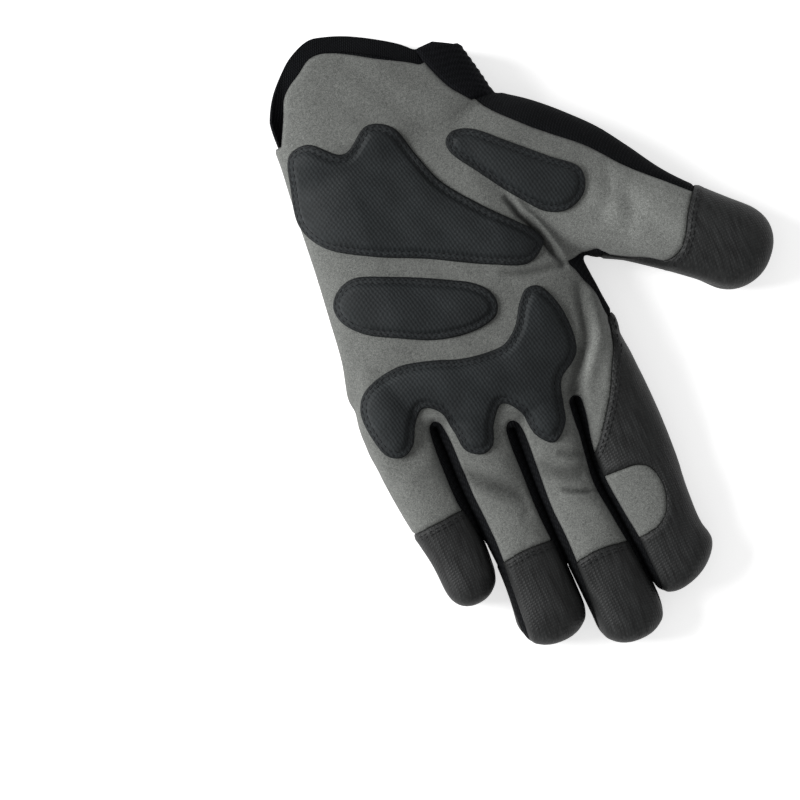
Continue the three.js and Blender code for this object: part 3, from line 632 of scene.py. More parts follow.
def strip_field(slit, base):
    """The side strip between two fingers, with the block of it that fills their crotch."""
    x, y, z = base.T
    start = slit_along(slit) - STRIP_WIDTH
    off = x - slit_x(slit, y)
    ends = [root_y(FINGERS[key]) + STRIP_END * FINGERS[key]["length"] for key in slit.split("_")]
    end = np.where(off < 0, ends[0], ends[1])
    opened = np.clip((y - start) / STRIP_NOSE, 0, 1)
    halves = STRIP_HALVES[slit]
    half = np.where(off < 0, read(halves, y - start, "left"), read(halves, y - start, "right"))
    half = half * np.sqrt(np.clip(1 - (1 - opened) ** 2, 0, 1))
    above = SEAM_HEIGHT - z
    side = np.maximum.reduce([np.abs(off) - half, start - y, y - end, above])
    slant = slit_along(slit) + CROTCH_REACH - CROTCH_LEAN * (1 - np.clip(z / CROTCH_TALL, 0, 1))
    crotch = np.maximum.reduce([
        np.abs(off) - CROTCH_HALF, slant - CROTCH_BEFORE - y, y - slit_along(slit) - CROTCH_AFTER,
        above, z - CROTCH_TOP])
    return np.minimum(side, crotch)


def cap_line(name):
    """The lower border of a fingertip's cap, from the left slit to the right one."""
    finger = FINGERS[name]
    heights = [root_y(finger) + share * finger["length"] / 100 for share in CAP_LINES[name]]
    left, right = sides_of(finger, heights[1])
    left_side = slit_x(finger["left"], heights[0])
    right_side = slit_x(finger["right"], heights[2]) if finger["right"] else right + finger["width"] / 2
    return curve([(left_side, heights[0]), ((left + right) / 2, heights[1]), (right_side, heights[2])])


def cap_outline(name):
    finger = FINGERS[name]
    line = cap_line(name)
    past = FAR + 90
    right = slit_run(finger["right"], line[-1, 1], past) if finger["right"] else line[-1:] + (0, FAR)
    return np.concatenate([line, right, slit_run(finger["left"], past, line[0, 1])])


GUARD_PALM = curve(on_index([
    [-95, -30], [-49, -28.6], [-40.5, -26.5], [-37.5, -21.6], [-34, -18], [-29, -13], [-17, -5.6],
    [1, 5.6], [25, 17], [44, 25], [58, 29.5],
]))
GUARD_BACK = curve(on_index([[-95, 42], [-54, 44], [-25, 57], [15, 65.5], [54, 67.5]]))
PATCH_LINE = curve(on_index([
    [56, 40], [30, 40], [5, 40.6], [-12, 44], [-20, 52.8], [-17, 60], [-8, 66], [8, 70],
    [28, 71.5], [46, 72.2],
]))
THUMB_CAP = curve(on_thumb([
    [64, -70], [64, -40], [65, -14], [66.8, 10], [66.9, 29], [64.8, 41], [62.5, 47],
]))
THUMB_TAIL = curve(on_thumb([[62.5, 47], [56.7, 50], [48, 57.5], [40, 63]]))
THUMB_BAND = curve(on_thumb([
    [64, -42.5], [50, -42.5], [36, -43], [20, -48], [6, -47.5], [-7, -47.5], [-22, -52], [-29, -60],
]))
WEB_LINE = curve(on_palm([
    [-51, 40.5], [-49, 39], [-47.6, 37], [-46.8, 34.8], [-46, 31], [-45.1, 28.5], [-44.2, 26.5],
    [-42.5, 22.7], [-40.5, 20.3],
]))
GUSSET_LINE = curve(on_palm([[-19.6, -42], [-20.3, -39], [-25, -30.7], [-31, -25.3]]))
PALM_CUFF = curve(on_palm([
    [-18.5, -38.1], [-15.2, -39.6], [-4.9, -43.4], [3.1, -46.7], [8.2, -48.6], [13.6, -49.7],
    [17.5, -49.4], [22.5, -47.2], [27.4, -45.1], [30.6, -42.9], [33.3, -39.2], [35.8, -35.8],
    [38.1, -32.5],
]))
BACK_CUFF = curve(on_palm([
    [-19.3, -43], [-14.5, -46], [0, -52], [8.7, -54.3], [14.5, -55], [22.2, -53],
    [29, -49.3], [34.8, -44.7], [39.2, -38.7], [41.5, -32.5],
]))
RIBBED_LINE = np.concatenate([
    slit_run("middle_ring", BEYOND_TIPS, slit_along("middle_ring")),
    curve(on_palm([[-0.5, 53.1], [2.2, 35.3], [4.6, 24], [10.4, 11.3], [17.9, 4.7], [25, 1],
                   [34, -0.4], [43, 1.5], [54, 6]]))[1:],
])
RIBBED_OUTLINE = np.concatenate([RIBBED_LINE, on_palm([[110, 6]]), [(FAR, BEYOND_TIPS)]])
BINDING_WIDTH = 6.0
CUFF_OVERLAP = 0.5

PADS = {
    "heel_pad": on_palm([
        [-35, 13.5], [-28, 17], [-14.5, 13.7], [5, 6.7], [23, 1], [37, -5.3], [42, -12.3],
        [40, -22], [36, -29.7], [29, -30.3], [18.5, -24.7], [7, -29], [-1, -26.3], [-5.5, -17.3],
        [-9.7, -9.7], [-20.5, 0], [-33, 9.7],
    ]),
    "thumb_pad": on_thumb([
        [22.5, -15], [24.7, 0], [24, 16], [20.5, 31], [14, 39], [3, 36], [-15, 24], [-28, 13],
        [-31, 3], [-30, -10], [-24, -20], [-8, -21], [8, -21], [19, -22],
    ]),
    "mid_palm_pad": on_palm([
        [-12, 22.7], [-10, 25.7], [-5, 27], [3, 27.2], [13.5, 25.7], [25, 22], [36, 17.7],
        [41.5, 13], [42, 8.7], [38.5, 5.5], [32, 4.2], [19.5, 7.3], [9.7, 10.3], [0, 13.7],
        [-6, 16], [-10.7, 19.3],
    ]),
    "knuckle_pad": on_palm([
        [-20, 52], [-18, 56.7], [-12, 60], [-7, 56.7], [-5, 50], [0, 46.3], [5.3, 50], [8.7, 55],
        [13, 56], [18, 53.7], [19.5, 48], [21.3, 42.7], [26.5, 40.1], [31, 42.7], [35, 47.7],
        [39.7, 49.3], [44.5, 47.7], [47.2, 41.3], [47.2, 35.3], [44.5, 31.7], [40, 29.7],
        [29, 28.3], [17.4, 30], [7.7, 32.3], [-2, 33.3], [-8.7, 33], [-14.5, 30], [-18.9, 25.3],
        [-23.2, 22.5], [-27.6, 22.9], [-31.2, 27.3], [-32.9, 34], [-31.9, 40.3], [-28.5, 43.3],
        [-22.7, 46.3],
    ]),
}


def panel_fields(base):
    """Each panel's field over the skin. Corners far off the glove close the open lines."""
    spots = base[:, :2]

    def inside(*lines):
        return within(np.concatenate(lines), spots)

    below = base[:, 2] - SEAM_HEIGHT
    above = -below
    strips = {"strip_" + slit: strip_field(slit, base) for slit in SLITS}
    caps = {f"{name}_cap": within(cap_outline(name), spots) for name in CAP_LINES}
    all_strips, all_caps = list(strips.values()), list(caps.values())

    slit = slit_run("index_middle", slit_along("index_middle"), BEYOND_TIPS, 24)
    guard_palm, guard_back = (inside(line, slit[slit[:, 1] > line[-1, 1]], [(-FAR, BEYOND_TIPS)])
                              for line in (GUARD_PALM, GUARD_BACK))
    guard = np.minimum.reduce([np.maximum(guard_palm, above), np.maximum(guard_back, below),
                               np.maximum(guard_palm, guard_back)])
    index_run = slit_run("index_middle", PATCH_LINE[0, 1], PATCH_LINE[-1, 1], 12)
    patch = np.maximum(inside(index_run, PATCH_LINE[::-1]), above)

    thumb_cap = inside(THUMB_CAP, on_thumb([[62.5, 110], [140, 110], [140, -90], [64, -90]]))
    tail = inside(THUMB_TAIL, on_thumb([[40, 80], [80, 80], [80, 44]]))
    thumb_guard = np.minimum(thumb_cap, np.maximum(tail, above))

    band = inside(THUMB_BAND, on_thumb([[-29, -110], [64, -110]]))
    web = inside(WEB_LINE, on_palm([[-46, 19.8], [-52, 20.4], [-60, 26], [-60, 40.5]]))
    gusset_end = on_palm([[-60, -38.5], [-33, -40], [-26, -42.3]])
    gusset = inside(GUSSET_LINE, on_palm([[-60, -25.3]]), gusset_end)
    past_palm = inside(on_palm([[-60, -38.5]]), PALM_CUFF, on_palm([[60, -33.5], [60, -90], [-60, -90]]))
    past_back = inside(gusset_end, BACK_CUFF, on_palm([[60, -32.5], [60, -90], [-60, -90]]))
    ribbed = np.maximum(inside(RIBBED_OUTLINE), below)
    binding = np.maximum.reduce([past_back - BINDING_WIDTH, -past_back, below])

    dark = [*all_strips, *all_caps, guard, thumb_guard, gusset]
    fields = dict(strips)
    for name, cap in caps.items():
        fields[name] = minus(cap, *all_strips)
    fields["index_patch"] = minus(patch, *all_strips)
    fields["index_guard"] = minus(guard, *all_strips, patch)
    fields["thumb_guard"] = thumb_guard
    fields["wrist_gusset"] = np.maximum(gusset, -past_back)
    fields["cuff_binding"] = np.maximum(binding, -CUFF_OVERLAP - gusset)
    fields["palm_panel"] = minus(above, *dark, patch, band, web, past_palm)
    fields["ribbed_panel"] = minus(ribbed, *all_caps)
    fields["back_panel"] = minus(np.minimum.reduce([below, band, web]), *dark, ribbed, binding, past_back)
    return fields


# A sheet is a piece of the skin: rows of numbers for its points, and its triangles
PLACE = slice(0, 3)
NORMAL = slice(3, 6)
FIELD = 6
CREASE_SHADE = 7
# The column that holds the painted shade of the creases


def clip(rows, faces, field):
    """The part of a sheet where the field is negative, cut along its zero line."""
    inside = field < 0
    count = inside[faces].sum(axis=1)
    whole = faces[count == 3]

    def rotate(chosen, wanted):
        first = np.argmax(inside[chosen] == wanted, axis=1)
        order = (first[:, None] + np.arange(3)) % 3
        return np.take_along_axis(chosen, order, axis=1)

    one = rotate(faces[count == 1], True)
    two = rotate(faces[count == 2], False)
    ends = np.concatenate([one[:, [0, 1]], one[:, [0, 2]], two[:, [0, 1]], two[:, [0, 2]]])
    low, high = ends.min(axis=1), ends.max(axis=1)
    keys, places = np.unique(low.astype(np.int64) * len(rows) + high, return_inverse=True)
    a, b = keys // len(rows), keys % len(rows)
    t = (field[a] / (field[a] - field[b]))[:, None]
    added = rows[a] * (1 - t) + rows[b] * t
    places = places.reshape(-1) + len(rows)
    n, m = len(one), len(two)
    one_b, one_c = places[:n], places[n:2 * n]
    two_b, two_c = places[2 * n:2 * n + m], places[2 * n + m:]
    new_faces = np.concatenate([
        whole,
        np.stack([one[:, 0], one_b, one_c], axis=1),
        np.stack([two_b, two[:, 1], two[:, 2]], axis=1),
        np.stack([two_b, two[:, 2], two_c], axis=1),
    ])
    rows = np.concatenate([rows, added])
    used, faces = np.unique(new_faces, return_inverse=True)
    return rows[used], faces.reshape(-1, 3)


def finer(rows, faces):
    """The same sheet with each triangle cut into four."""
    edges = edges_of(faces, len(rows))
    keys = edges[:, 0] * len(rows) + edges[:, 1]

    def middle(i, j):
        low, high = np.minimum(faces[:, i], faces[:, j]), np.maximum(faces[:, i], faces[:, j])
        return np.searchsorted(keys, low.astype(np.int64) * len(rows) + high) + len(rows)

    ab, bc, ca = middle(0, 1), middle(1, 2), middle(2, 0)
    a, b, c = faces.T
    cut = np.concatenate([np.stack(corner, axis=1) for corner in
                          ((a, ab, ca), (ab, b, bc), (ca, bc, c), (ab, bc, ca))])
    return np.concatenate([rows, rows[edges].mean(axis=1)]), cut


def border_edges(faces):
    """The directed edges that only one triangle has."""
    pairs = np.concatenate([faces[:, [0, 1]], faces[:, [1, 2]], faces[:, [2, 0]]]).astype(np.int64)
    count = faces.max() + 1
    forward = pairs[:, 0] * count + pairs[:, 1]
    backward = pairs[:, 1] * count + pairs[:, 0]
    return pairs[~np.isin(forward, backward)]


def without_crumbs(rows, faces, smallest=60):
    """The sheet without the small loose parts that a cut leaves."""
    edges = edges_of(faces, len(rows))
    label = np.arange(len(rows))
    while True:
        before = label.copy()
        np.minimum.at(label, edges[:, 0], label[edges[:, 1]])
        np.minimum.at(label, edges[:, 1], label[edges[:, 0]])
        label = label[label]
        if np.array_equal(before, label):
            break
    sizes = np.bincount(label[faces[:, 0]], minlength=len(rows))
    kept = faces[sizes[label[faces[:, 0]]] > smallest]
    used, kept = np.unique(kept, return_inverse=True)
    return rows[used], kept.reshape(-1, 3)


def shell(outer, inner, faces):
    """A closed solid between two surfaces that have the same triangles."""
    count = len(outer)
    rim = border_edges(faces)
    a, b = rim.T
    sides = np.concatenate([np.stack([b, a, a + count], axis=1),
                            np.stack([b, a + count, b + count], axis=1)])
    return np.concatenate([outer, inner]), np.concatenate([faces, faces[:, ::-1] + count, sides])


def to_frame(points):
    """Millimetres of the pattern to metres of the frame."""
    return (points - (*PATTERN_MIDDLE, 0)) * MM


def make_object(name, points, faces, attributes=None):
    mesh = bpy.data.meshes.new(name)
    mesh.vertices.add(len(points))
    mesh.vertices.foreach_set("co", to_frame(points).astype(np.float32).ravel())
    mesh.loops.add(faces.size)
    mesh.loops.foreach_set("vertex_index", faces.astype(np.int32).ravel())
    mesh.polygons.add(len(faces))
    mesh.polygons.foreach_set("loop_start", np.arange(0, faces.size, 3, dtype=np.int32))
    mesh.update(calc_edges=True)
    mesh.validate()
    mesh.polygons.foreach_set("use_smooth", np.ones(len(mesh.polygons), bool))
    for key, values in (attributes or {}).items():
        layer = mesh.attributes.new(key, "FLOAT", "POINT")
        layer.data.foreach_set("value", values.astype(np.float32))
    obj = bpy.data.objects.new(name, mesh)
    bpy.context.scene.collection.objects.link(obj)
    return obj


def above_floor(points, least=0.0):
    points = points.copy()
    points[:, 2] = np.maximum(points[:, 2], least)
    return points


# How each panel's edge stands: how far over the skin its face lies, and how far its edge
# turns down into the seam
PANEL_EDGES = {
    "palm_panel": (0.0, 0.55),
    "index_patch": (0.1, 0.5),
    "index_guard": (0.4, 0.45),
    "thumb_guard": (0.45, 0.45),
    "back_panel": (0.0, 0.5),
    "ribbed_panel": (0.0, 0.5),
    "wrist_gusset": (-0.1, 0.5),
    "cuff_binding": (0.6, 0.9),
}
PANEL_EDGES.update({f"{name}_cap": (0.45, 0.45) for name in CAP_LINES})
PANEL_EDGES.update({f"strip_{slit}": (-0.1, 0.5) for slit in SLITS})
EDGE_WIDTH = 0.75
RIB_PITCH = 1.6
RIB_DEPTH = 0.4
GATHER_PITCH = 2.3
GATHER_DEPTH = 0.14
# The low bead along a cap's border: its height, its depth inside the border, its width
BEAD = 0.12
BEAD_IN = 2.1
BEAD_WIDTH = 0.9


def rise_of(name, rows):
    """How far each point of a panel lies over the skin."""
    face, drop = PANEL_EDGES[name]
    depth = -rows[:, FIELD]
    rise = face - drop * ridge(depth, 0, EDGE_WIDTH)
    x, y = rows[:, 0], rows[:, 1]
    if name == "ribbed_panel":
        rise -= RIB_DEPTH * (0.5 + 0.5 * np.cos(2 * np.pi * y / RIB_PITCH)) * smoothstep(0.3, 1.5, depth)
    if name == "wrist_gusset":
        wave = np.sin(2 * np.pi * (y + 0.35 * x + 0.8 * np.sin(x / 3.0)) / GATHER_PITCH)
        rise += GATHER_DEPTH * wave * smoothstep(0.2, 2.0, depth)
    if name.endswith("_cap") or name.endswith("_guard"):
        rise += BEAD * ridge(depth, BEAD_IN, BEAD_WIDTH)
    return rise


PAD_EDGE = 1.3
PAD_CROWN = 2.3
PAD_DOME = 0.9
PAD_DOME_RUN = 5
PAD_MARGIN = 3.0
PAD_ROUND = 0.6
# The two stitched lines of a pad's margin, and the grooves they lie in
PAD_LINES = (1.2, 2.5)
PAD_GROOVE = 0.2
PAD_GROOVE_WIDTH = 0.4
PAD_BASE = 0.1


def pad_rise(depth):
    """The pad's section: an edge, a stitched margin and a crowned middle."""
    rise = PAD_EDGE * np.sqrt(np.clip(depth / PAD_ROUND, 0, 1))
    rise += (PAD_CROWN - PAD_EDGE) * smoothstep(PAD_MARGIN - 1.0, PAD_MARGIN + 1.2, depth)
    rise += PAD_DOME * (1 - np.exp(-np.maximum(depth - PAD_MARGIN, 0) / PAD_DOME_RUN))
    for line in PAD_LINES:
        rise -= PAD_GROOVE * ridge(depth, line, PAD_GROOVE_WIDTH)
    return rise


def level_lines(rows, faces, values):
    """The lines on a sheet along which the values are zero, as rows of points."""
    inside = values < 0
    count = inside[faces].sum(axis=1)
    chosen = faces[(count == 1) | (count == 2)]
    links = {}
    spots = {}
    for face in chosen:
        crossed = []
        for i in range(3):
            a, b = sorted((face[i], face[(i + 1) % 3]))
            if inside[a] == inside[b]:
                continue
            if (a, b) not in spots:
                t = values[a] / (values[a] - values[b])
                spots[a, b] = rows[a] * (1 - t) + rows[b] * t
            crossed.append((a, b))
        links.setdefault(crossed[0], []).append(crossed[1])
        links.setdefault(crossed[1], []).append(crossed[0])
    lines = []
    seen = set()
    starts = [key for key, ends in links.items() if len(ends) == 1] + list(links)
    for start in starts:
        if start in seen:
            continue
        run, here = [], start
        while here is not None:
            seen.add(here)
            run.append(spots[here])
            here = next((key for key in links[here] if key not in seen), None)
        if len(links[start]) == 2:
            run.append(run[0])
        lines.append(np.array(run))
    return lines


def kept_runs(lines, test):
    """The stretches of lines whose points pass a test."""
    runs = []
    for line in lines:
        good = test(line)
        cuts = np.flatnonzero(np.diff(good.astype(int))) + 1
        runs += [part for part, flag in zip(np.split(line, cuts), np.split(good, cuts)) if flag[0]]
    return runs


def everywhere(line):
    return np.ones(len(line), bool)


def smoothed(line, rounds=8):
    """The line with its small steps taken out, its ends held."""
    line = line.copy()
    for _ in range(rounds):
        line[1:-1] += 0.5 * ((line[:-2] + line[2:]) / 2 - line[1:-1])
    return line


STITCH_PITCH = 2.5
STITCH_LENGTH = 1.7
STITCH_RADIUS = 0.22
STITCH_RINGS = ((-0.5, 0.35), (-0.36, 0.9), (0.0, 1.0), (0.36, 0.9), (0.5, 0.35))
STITCH_SIDES = 6


def stitch_form():
    points = []
    for along, wide in STITCH_RINGS:
        for side in range(STITCH_SIDES):
            turn = 2 * np.pi * side / STITCH_SIDES
            arch = STITCH_RADIUS * (1 - (2 * along) ** 2) * 0.7
            points.append((along * STITCH_LENGTH, STITCH_RADIUS * wide * np.cos(turn),
                           STITCH_RADIUS * wide * np.sin(turn) + arch))
    faces = []
    for ring in range(len(STITCH_RINGS) - 1):
        for side in range(STITCH_SIDES):
            a = ring * STITCH_SIDES + side
            b = ring * STITCH_SIDES + (side + 1) % STITCH_SIDES
            faces += [(a, a + STITCH_SIDES, b), (b, a + STITCH_SIDES, b + STITCH_SIDES)]
    last = (len(STITCH_RINGS) - 1) * STITCH_SIDES
    for side in range(1, STITCH_SIDES - 1):
        faces += [(0, side, side + 1), (last, last + side + 1, last + side)]
    return np.array(points), np.array(faces)


STITCH_POINTS, STITCH_FACES = stitch_form()


def stitches(lines, sink=0.05):
    """Stitches along lines whose rows hold a place and a normal."""
    made_points, made_faces, base = [], [], 0
    for line in lines:
        line = smoothed(line[:, :6])
        steps = np.linalg.norm(np.diff(line[:, PLACE], axis=0), axis=1)
        run = np.concatenate([[0], np.cumsum(steps)])
        if run[-1] < 2 * STITCH_PITCH:
            continue
        count = int(run[-1] / STITCH_PITCH)
        for at in (np.arange(count) + 0.5) * run[-1] / count:
            spot = np.array([np.interp(at, run, line[:, c]) for c in range(6)])
            ahead = [np.interp(min(at + 0.6, run[-1]), run, line[:, c]) for c in range(3)]
            behind = [np.interp(max(at - 0.6, 0), run, line[:, c]) for c in range(3)]
            along = np.array(ahead) - behind
            up = spot[NORMAL] / max(np.linalg.norm(spot[NORMAL]), 1e-9)
            along -= up * (along @ up)
            length = np.linalg.norm(along)
            if length < 1e-6:
                continue
            along /= length
            frame_of = np.stack([along, np.cross(up, along), up])
            made_points.append(spot[PLACE] - up * sink + STITCH_POINTS @ frame_of)
            made_faces.append(STITCH_FACES + base)
            base += len(STITCH_POINTS)
    if not made_points:
        return None
    return np.concatenate(made_points), np.concatenate(made_faces)


STITCH_MARGIN = 0.8
# How far from a cap's lower border its two rows of stitches run, and the one beside the piping
CAP_ROWS = (1.4, 2.6)
PIPING_ROW = 2.4


def sewn_lines():
    """For each cap and guard, the border that its rows of stitches follow."""
    lines = {f"{name}_cap": cap_line(name) for name in CAP_LINES}
    lines["index_guard"] = GUARD_PALM
    lines["thumb_guard"] = THUMB_CAP
    return lines


def sew(name, rows, faces, values, keep, thread):
    """Stitches on a sheet along the lines where each of the values is zero."""
    lines = sum((level_lines(rows, faces, value) for value in values), [])
    made = stitches(kept_runs(lines, keep))
    if made:
        sewn = make_object(name + "_stitches", *made)
        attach(sewn, "root")
        sewn.data.materials.append(MATERIALS[thread])


PIPING_RADIUS = 1.1
PIPING_SINK = 0.25
PIPING_SIDES = 14


def tube(path, normals, radius, sides, sink):
    """A cord of closed skin that follows a path on a surface."""
    along = np.gradient(path, axis=0)
    along /= np.linalg.norm(along, axis=1)[:, None]
    across = np.cross(along, normals)
    across /= np.linalg.norm(across, axis=1)[:, None]
    up = np.cross(across, along)
    turn = 2 * np.pi * np.arange(sides) / sides
    side, lift = np.cos(turn)[None, :, None], np.sin(turn)[None, :, None]
    ring = radius * (side * across[:, None] + lift * up[:, None])
    points, faces = loft(path[:, None] - sink * up[:, None] + ring)
    made = [face[:3] for face in faces] + [[face[0], face[2], face[3]] for face in faces if len(face) == 4]
    return points, np.array(made)


def make_piping(skin, faces, field):
    """The cord along the ribbed panel's edge, from the fingers to the side of the hand."""
    lines = level_lines(skin, faces, field)
    start = slit_along("middle_ring") - CROTCH_LEAN + 2
    lines = kept_runs(lines, lambda line: (line[:, 1] < start) & (line[:, 2] < SEAM_HEIGHT))
    line = smoothed(max(lines, key=len), 30)
    points, cut = tube(line[:, PLACE], line[:, NORMAL], PIPING_RADIUS, PIPING_SIDES, PIPING_SINK)
    finish_piece(make_object("piping_cord", above_floor(points), cut), "piping")


STRAP_OUTLINE = np.concatenate([
    curve(on_palm([[36, -28], [8, -28], [-10, -28.2], [-13.8, -30], [-16.5, -36]])),
    curve(on_palm([[-17.5, -43], [0, -52], [14.5, -55], [29, -49.3], [38, -38.7], [39, -33]])) + (0, 3),
])
STRAP_STEP = 0.6
STRAP_ROUND = 0.7
# The strap's line of stitches, and the groove it lies in
STRAP_LINE = 2.2
STRAP_GROOVE = 0.18
STRAP_GROOVE_WIDTH = 0.45


def make_strap():
    """The flat strap under the cuff, with rounded edges and a stitched border."""
    low, high = STRAP_OUTLINE.min(axis=0) - 1, STRAP_OUTLINE.max(axis=0) + 1
    x, y = (np.arange(low[i], high[i], STRAP_STEP) for i in range(2))
    spots = np.stack(np.meshgrid(x, y, indexing="ij"), axis=-1).reshape(-1, 2)
    row, column = np.meshgrid(np.arange(len(x) - 1), np.arange(len(y) - 1), indexing="ij")
    corner = (row * len(y) + column).ravel()
    grid = np.concatenate([np.stack([corner, corner + len(y), corner + len(y) + 1], axis=1),
                           np.stack([corner, corner + len(y) + 1, corner + 1], axis=1)])
    field = within(STRAP_OUTLINE, spots)
    rows, cut = clip(np.column_stack([spots, field]), grid, field)
    depth = -rows[:, 2]
    curl = STRAP_ROUND * (1 - np.sqrt(np.clip(1 - (1 - np.clip(depth / STRAP_ROUND, 0, 1)) ** 2, 0, 1)))
    groove = STRAP_GROOVE * ridge(depth, STRAP_LINE, STRAP_GROOVE_WIDTH)
    top = np.column_stack([rows[:, :2], STRAP_THICKNESS - curl - groove])
    bottom = np.column_stack([rows[:, :2], curl])
    points, solid = shell(top, bottom, cut)
    obj = make_object("wrist_strap_band", points, solid, {"edge": np.tile(depth, 2)})
    finish_piece(obj, "wrist_strap")
    facing = np.tile((0.0, 0.0, 1.0), (len(top), 1))
    sew("wrist_strap", np.column_stack([top, facing]), cut, [STRAP_LINE - depth],
        everywhere, "thread_dark")


# Rounds of smoothing: all of the skin, then its hollow seams only
SKIN_ROUNDS = 6
SEAM_ROUNDS = 14
SEAM_HOLLOW = 0.02


def make_skin():
    """The smoothed skin of the whole glove, with its normals and its faces."""
    points, quads = joined_skin()
    edges = edges_of(quads, len(points))
    points = relax(points, edges, SKIN_ROUNDS)
    normals = normals_of(points, quads)
    hollow = ((neighbour_mean(points, edges) - points) * normals).sum(axis=1)
    share = np.clip(hollow / SEAM_HOLLOW, 0, 1)[:, None]
    for _ in range(SKIN_ROUNDS):
        share = np.maximum(share, neighbour_mean(share, edges))
    points = above_floor(relax(points, edges, SEAM_ROUNDS, share, grow=0.0))
    normals = normals_of(points, quads)
    if normals[np.argmax(points[:, 2]), 2] < 0:
        quads, normals = quads[:, ::-1], -normals
    return points, normals, triangles_of(points, quads)


FINER = ("ribbed_panel", "wrist_gusset")
# How much painted shade darkens a panel where it turns away from above: the light ones and the others
PAINTED_SIDE_SHADE = {"palm_panel": 0.12, "index_patch": 0.12, "ribbed_panel": 0.1}
PAINTED_SIDE_SHADE_OTHERS = 0.75
INNER_LEVEL = 0.3


def painted_shading_of(name, sheet):
    """How light the cloth is at each point: painted shade in the creases and on the sides that turn away
    from above, and spots of painted light and shade.
    """
    side = 1 - smoothstep(0.15, 0.9, sheet[:, NORMAL][:, 2])
    deepest = PAINTED_SIDE_SHADE.get(name, PAINTED_SIDE_SHADE_OTHERS)
    # Painted shade: darker in the creases, and on the sides that turn away from above
    tone = (1 - sheet[:, CREASE_SHADE]) * (1 - deepest * side * smoothstep(1, 4, sheet[:, 2]))
    return tone * painted_spot_share(sheet[:, :2])


def make_panels(rows, faces, fields):
    sewn = sewn_lines()
    for name, field in fields.items():
        rows[:, FIELD] = field
        sheet, cut = clip(rows, faces, field)
        sheet, cut = without_crumbs(sheet, cut)
        if name in FINER:
            sheet, cut = finer(sheet, cut)
        outer = above_floor(sheet[:, PLACE] + sheet[:, NORMAL] * rise_of(name, sheet)[:, None])
        inner = above_floor(sheet[:, PLACE] - sheet[:, NORMAL] * WALL, INNER_LEVEL)
        points, solid = shell(outer, inner, cut)
        # Painted light and shade of the cloth, the same on both faces of the shell
        tone = np.tile(painted_shading_of(name, sheet), 2)
        obj = make_object(name + "_cloth", points, solid,
                          {"tone": tone, "edge": np.tile(-sheet[:, FIELD], 2)})
        finish_piece(obj, name)
        if name in sewn:
            gap, _ = to_polyline(sewn[name], sheet[:, :2])
            face_rows = np.column_stack([outer, normals_of(outer, cut), sheet[:, FIELD]])
            sew(name, face_rows, cut, [offset - gap for offset in CAP_ROWS],
                lambda part: (part[:, FIELD] < -STITCH_MARGIN) & (part[:, 5] > 0.45), "thread_dark")
        if name == "ribbed_panel":
            face_rows = np.column_stack([outer, sheet[:, NORMAL], sheet[:, FIELD]])
            start = slit_along("middle_ring") - CROTCH_LEAN
            gap, _ = to_polyline(RIBBED_LINE, sheet[:, :2])
            sew(name, face_rows, cut, [PIPING_ROW - gap], lambda part: part[:, 1] < start, "thread_light")


def make_pads(rows, faces):
    for name, outline in PADS.items():
        rows[:, FIELD] = np.maximum(within(curve(outline, True), rows[:, :2]),
                                    SEAM_HEIGHT + 4 - rows[:, 2])
        sheet, cut = clip(rows, faces, rows[:, FIELD])
        sheet, cut = finer(*without_crumbs(sheet, cut))
        depth = -sheet[:, FIELD]
        outer = sheet[:, PLACE] + sheet[:, NORMAL] * (PAD_BASE + pad_rise(depth))[:, None]
        inner = sheet[:, PLACE] + sheet[:, NORMAL] * PAD_BASE
        points, solid = shell(outer, inner, cut)
        obj = make_object(name + "_raised", points, solid,
                          {"tone": np.ones(2 * len(sheet)), "edge": np.tile(depth, 2)})
        finish_piece(obj, name)
        face_rows = np.column_stack([outer, normals_of(outer, cut)])
        sew(name, face_rows, cut, [line - depth for line in PAD_LINES],
            everywhere, "thread_pad")


def make_glove():
    points, normals, faces = make_skin()
    fields = panel_fields(points)
    creased, dark = wrinkled(points, normals)
    creased = above_floor(creased)
    # The last column is the painted shade of the creases
    rows = np.column_stack([creased, normals_of(creased, faces), np.zeros(len(creased)), dark])
    make_panels(rows, faces, fields)
    make_pads(rows, faces)
    make_piping(rows, faces, within(RIBBED_OUTLINE, creased[:, :2]))
    make_strap()


SLOTS = {row["node"]: row["material_slot"] for row in frame["record"]["subparts"]}


def finish_piece(obj, node):
    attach(obj, "root")
    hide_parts(node)
    obj.data.materials.append(MATERIALS[SLOTS[node]])


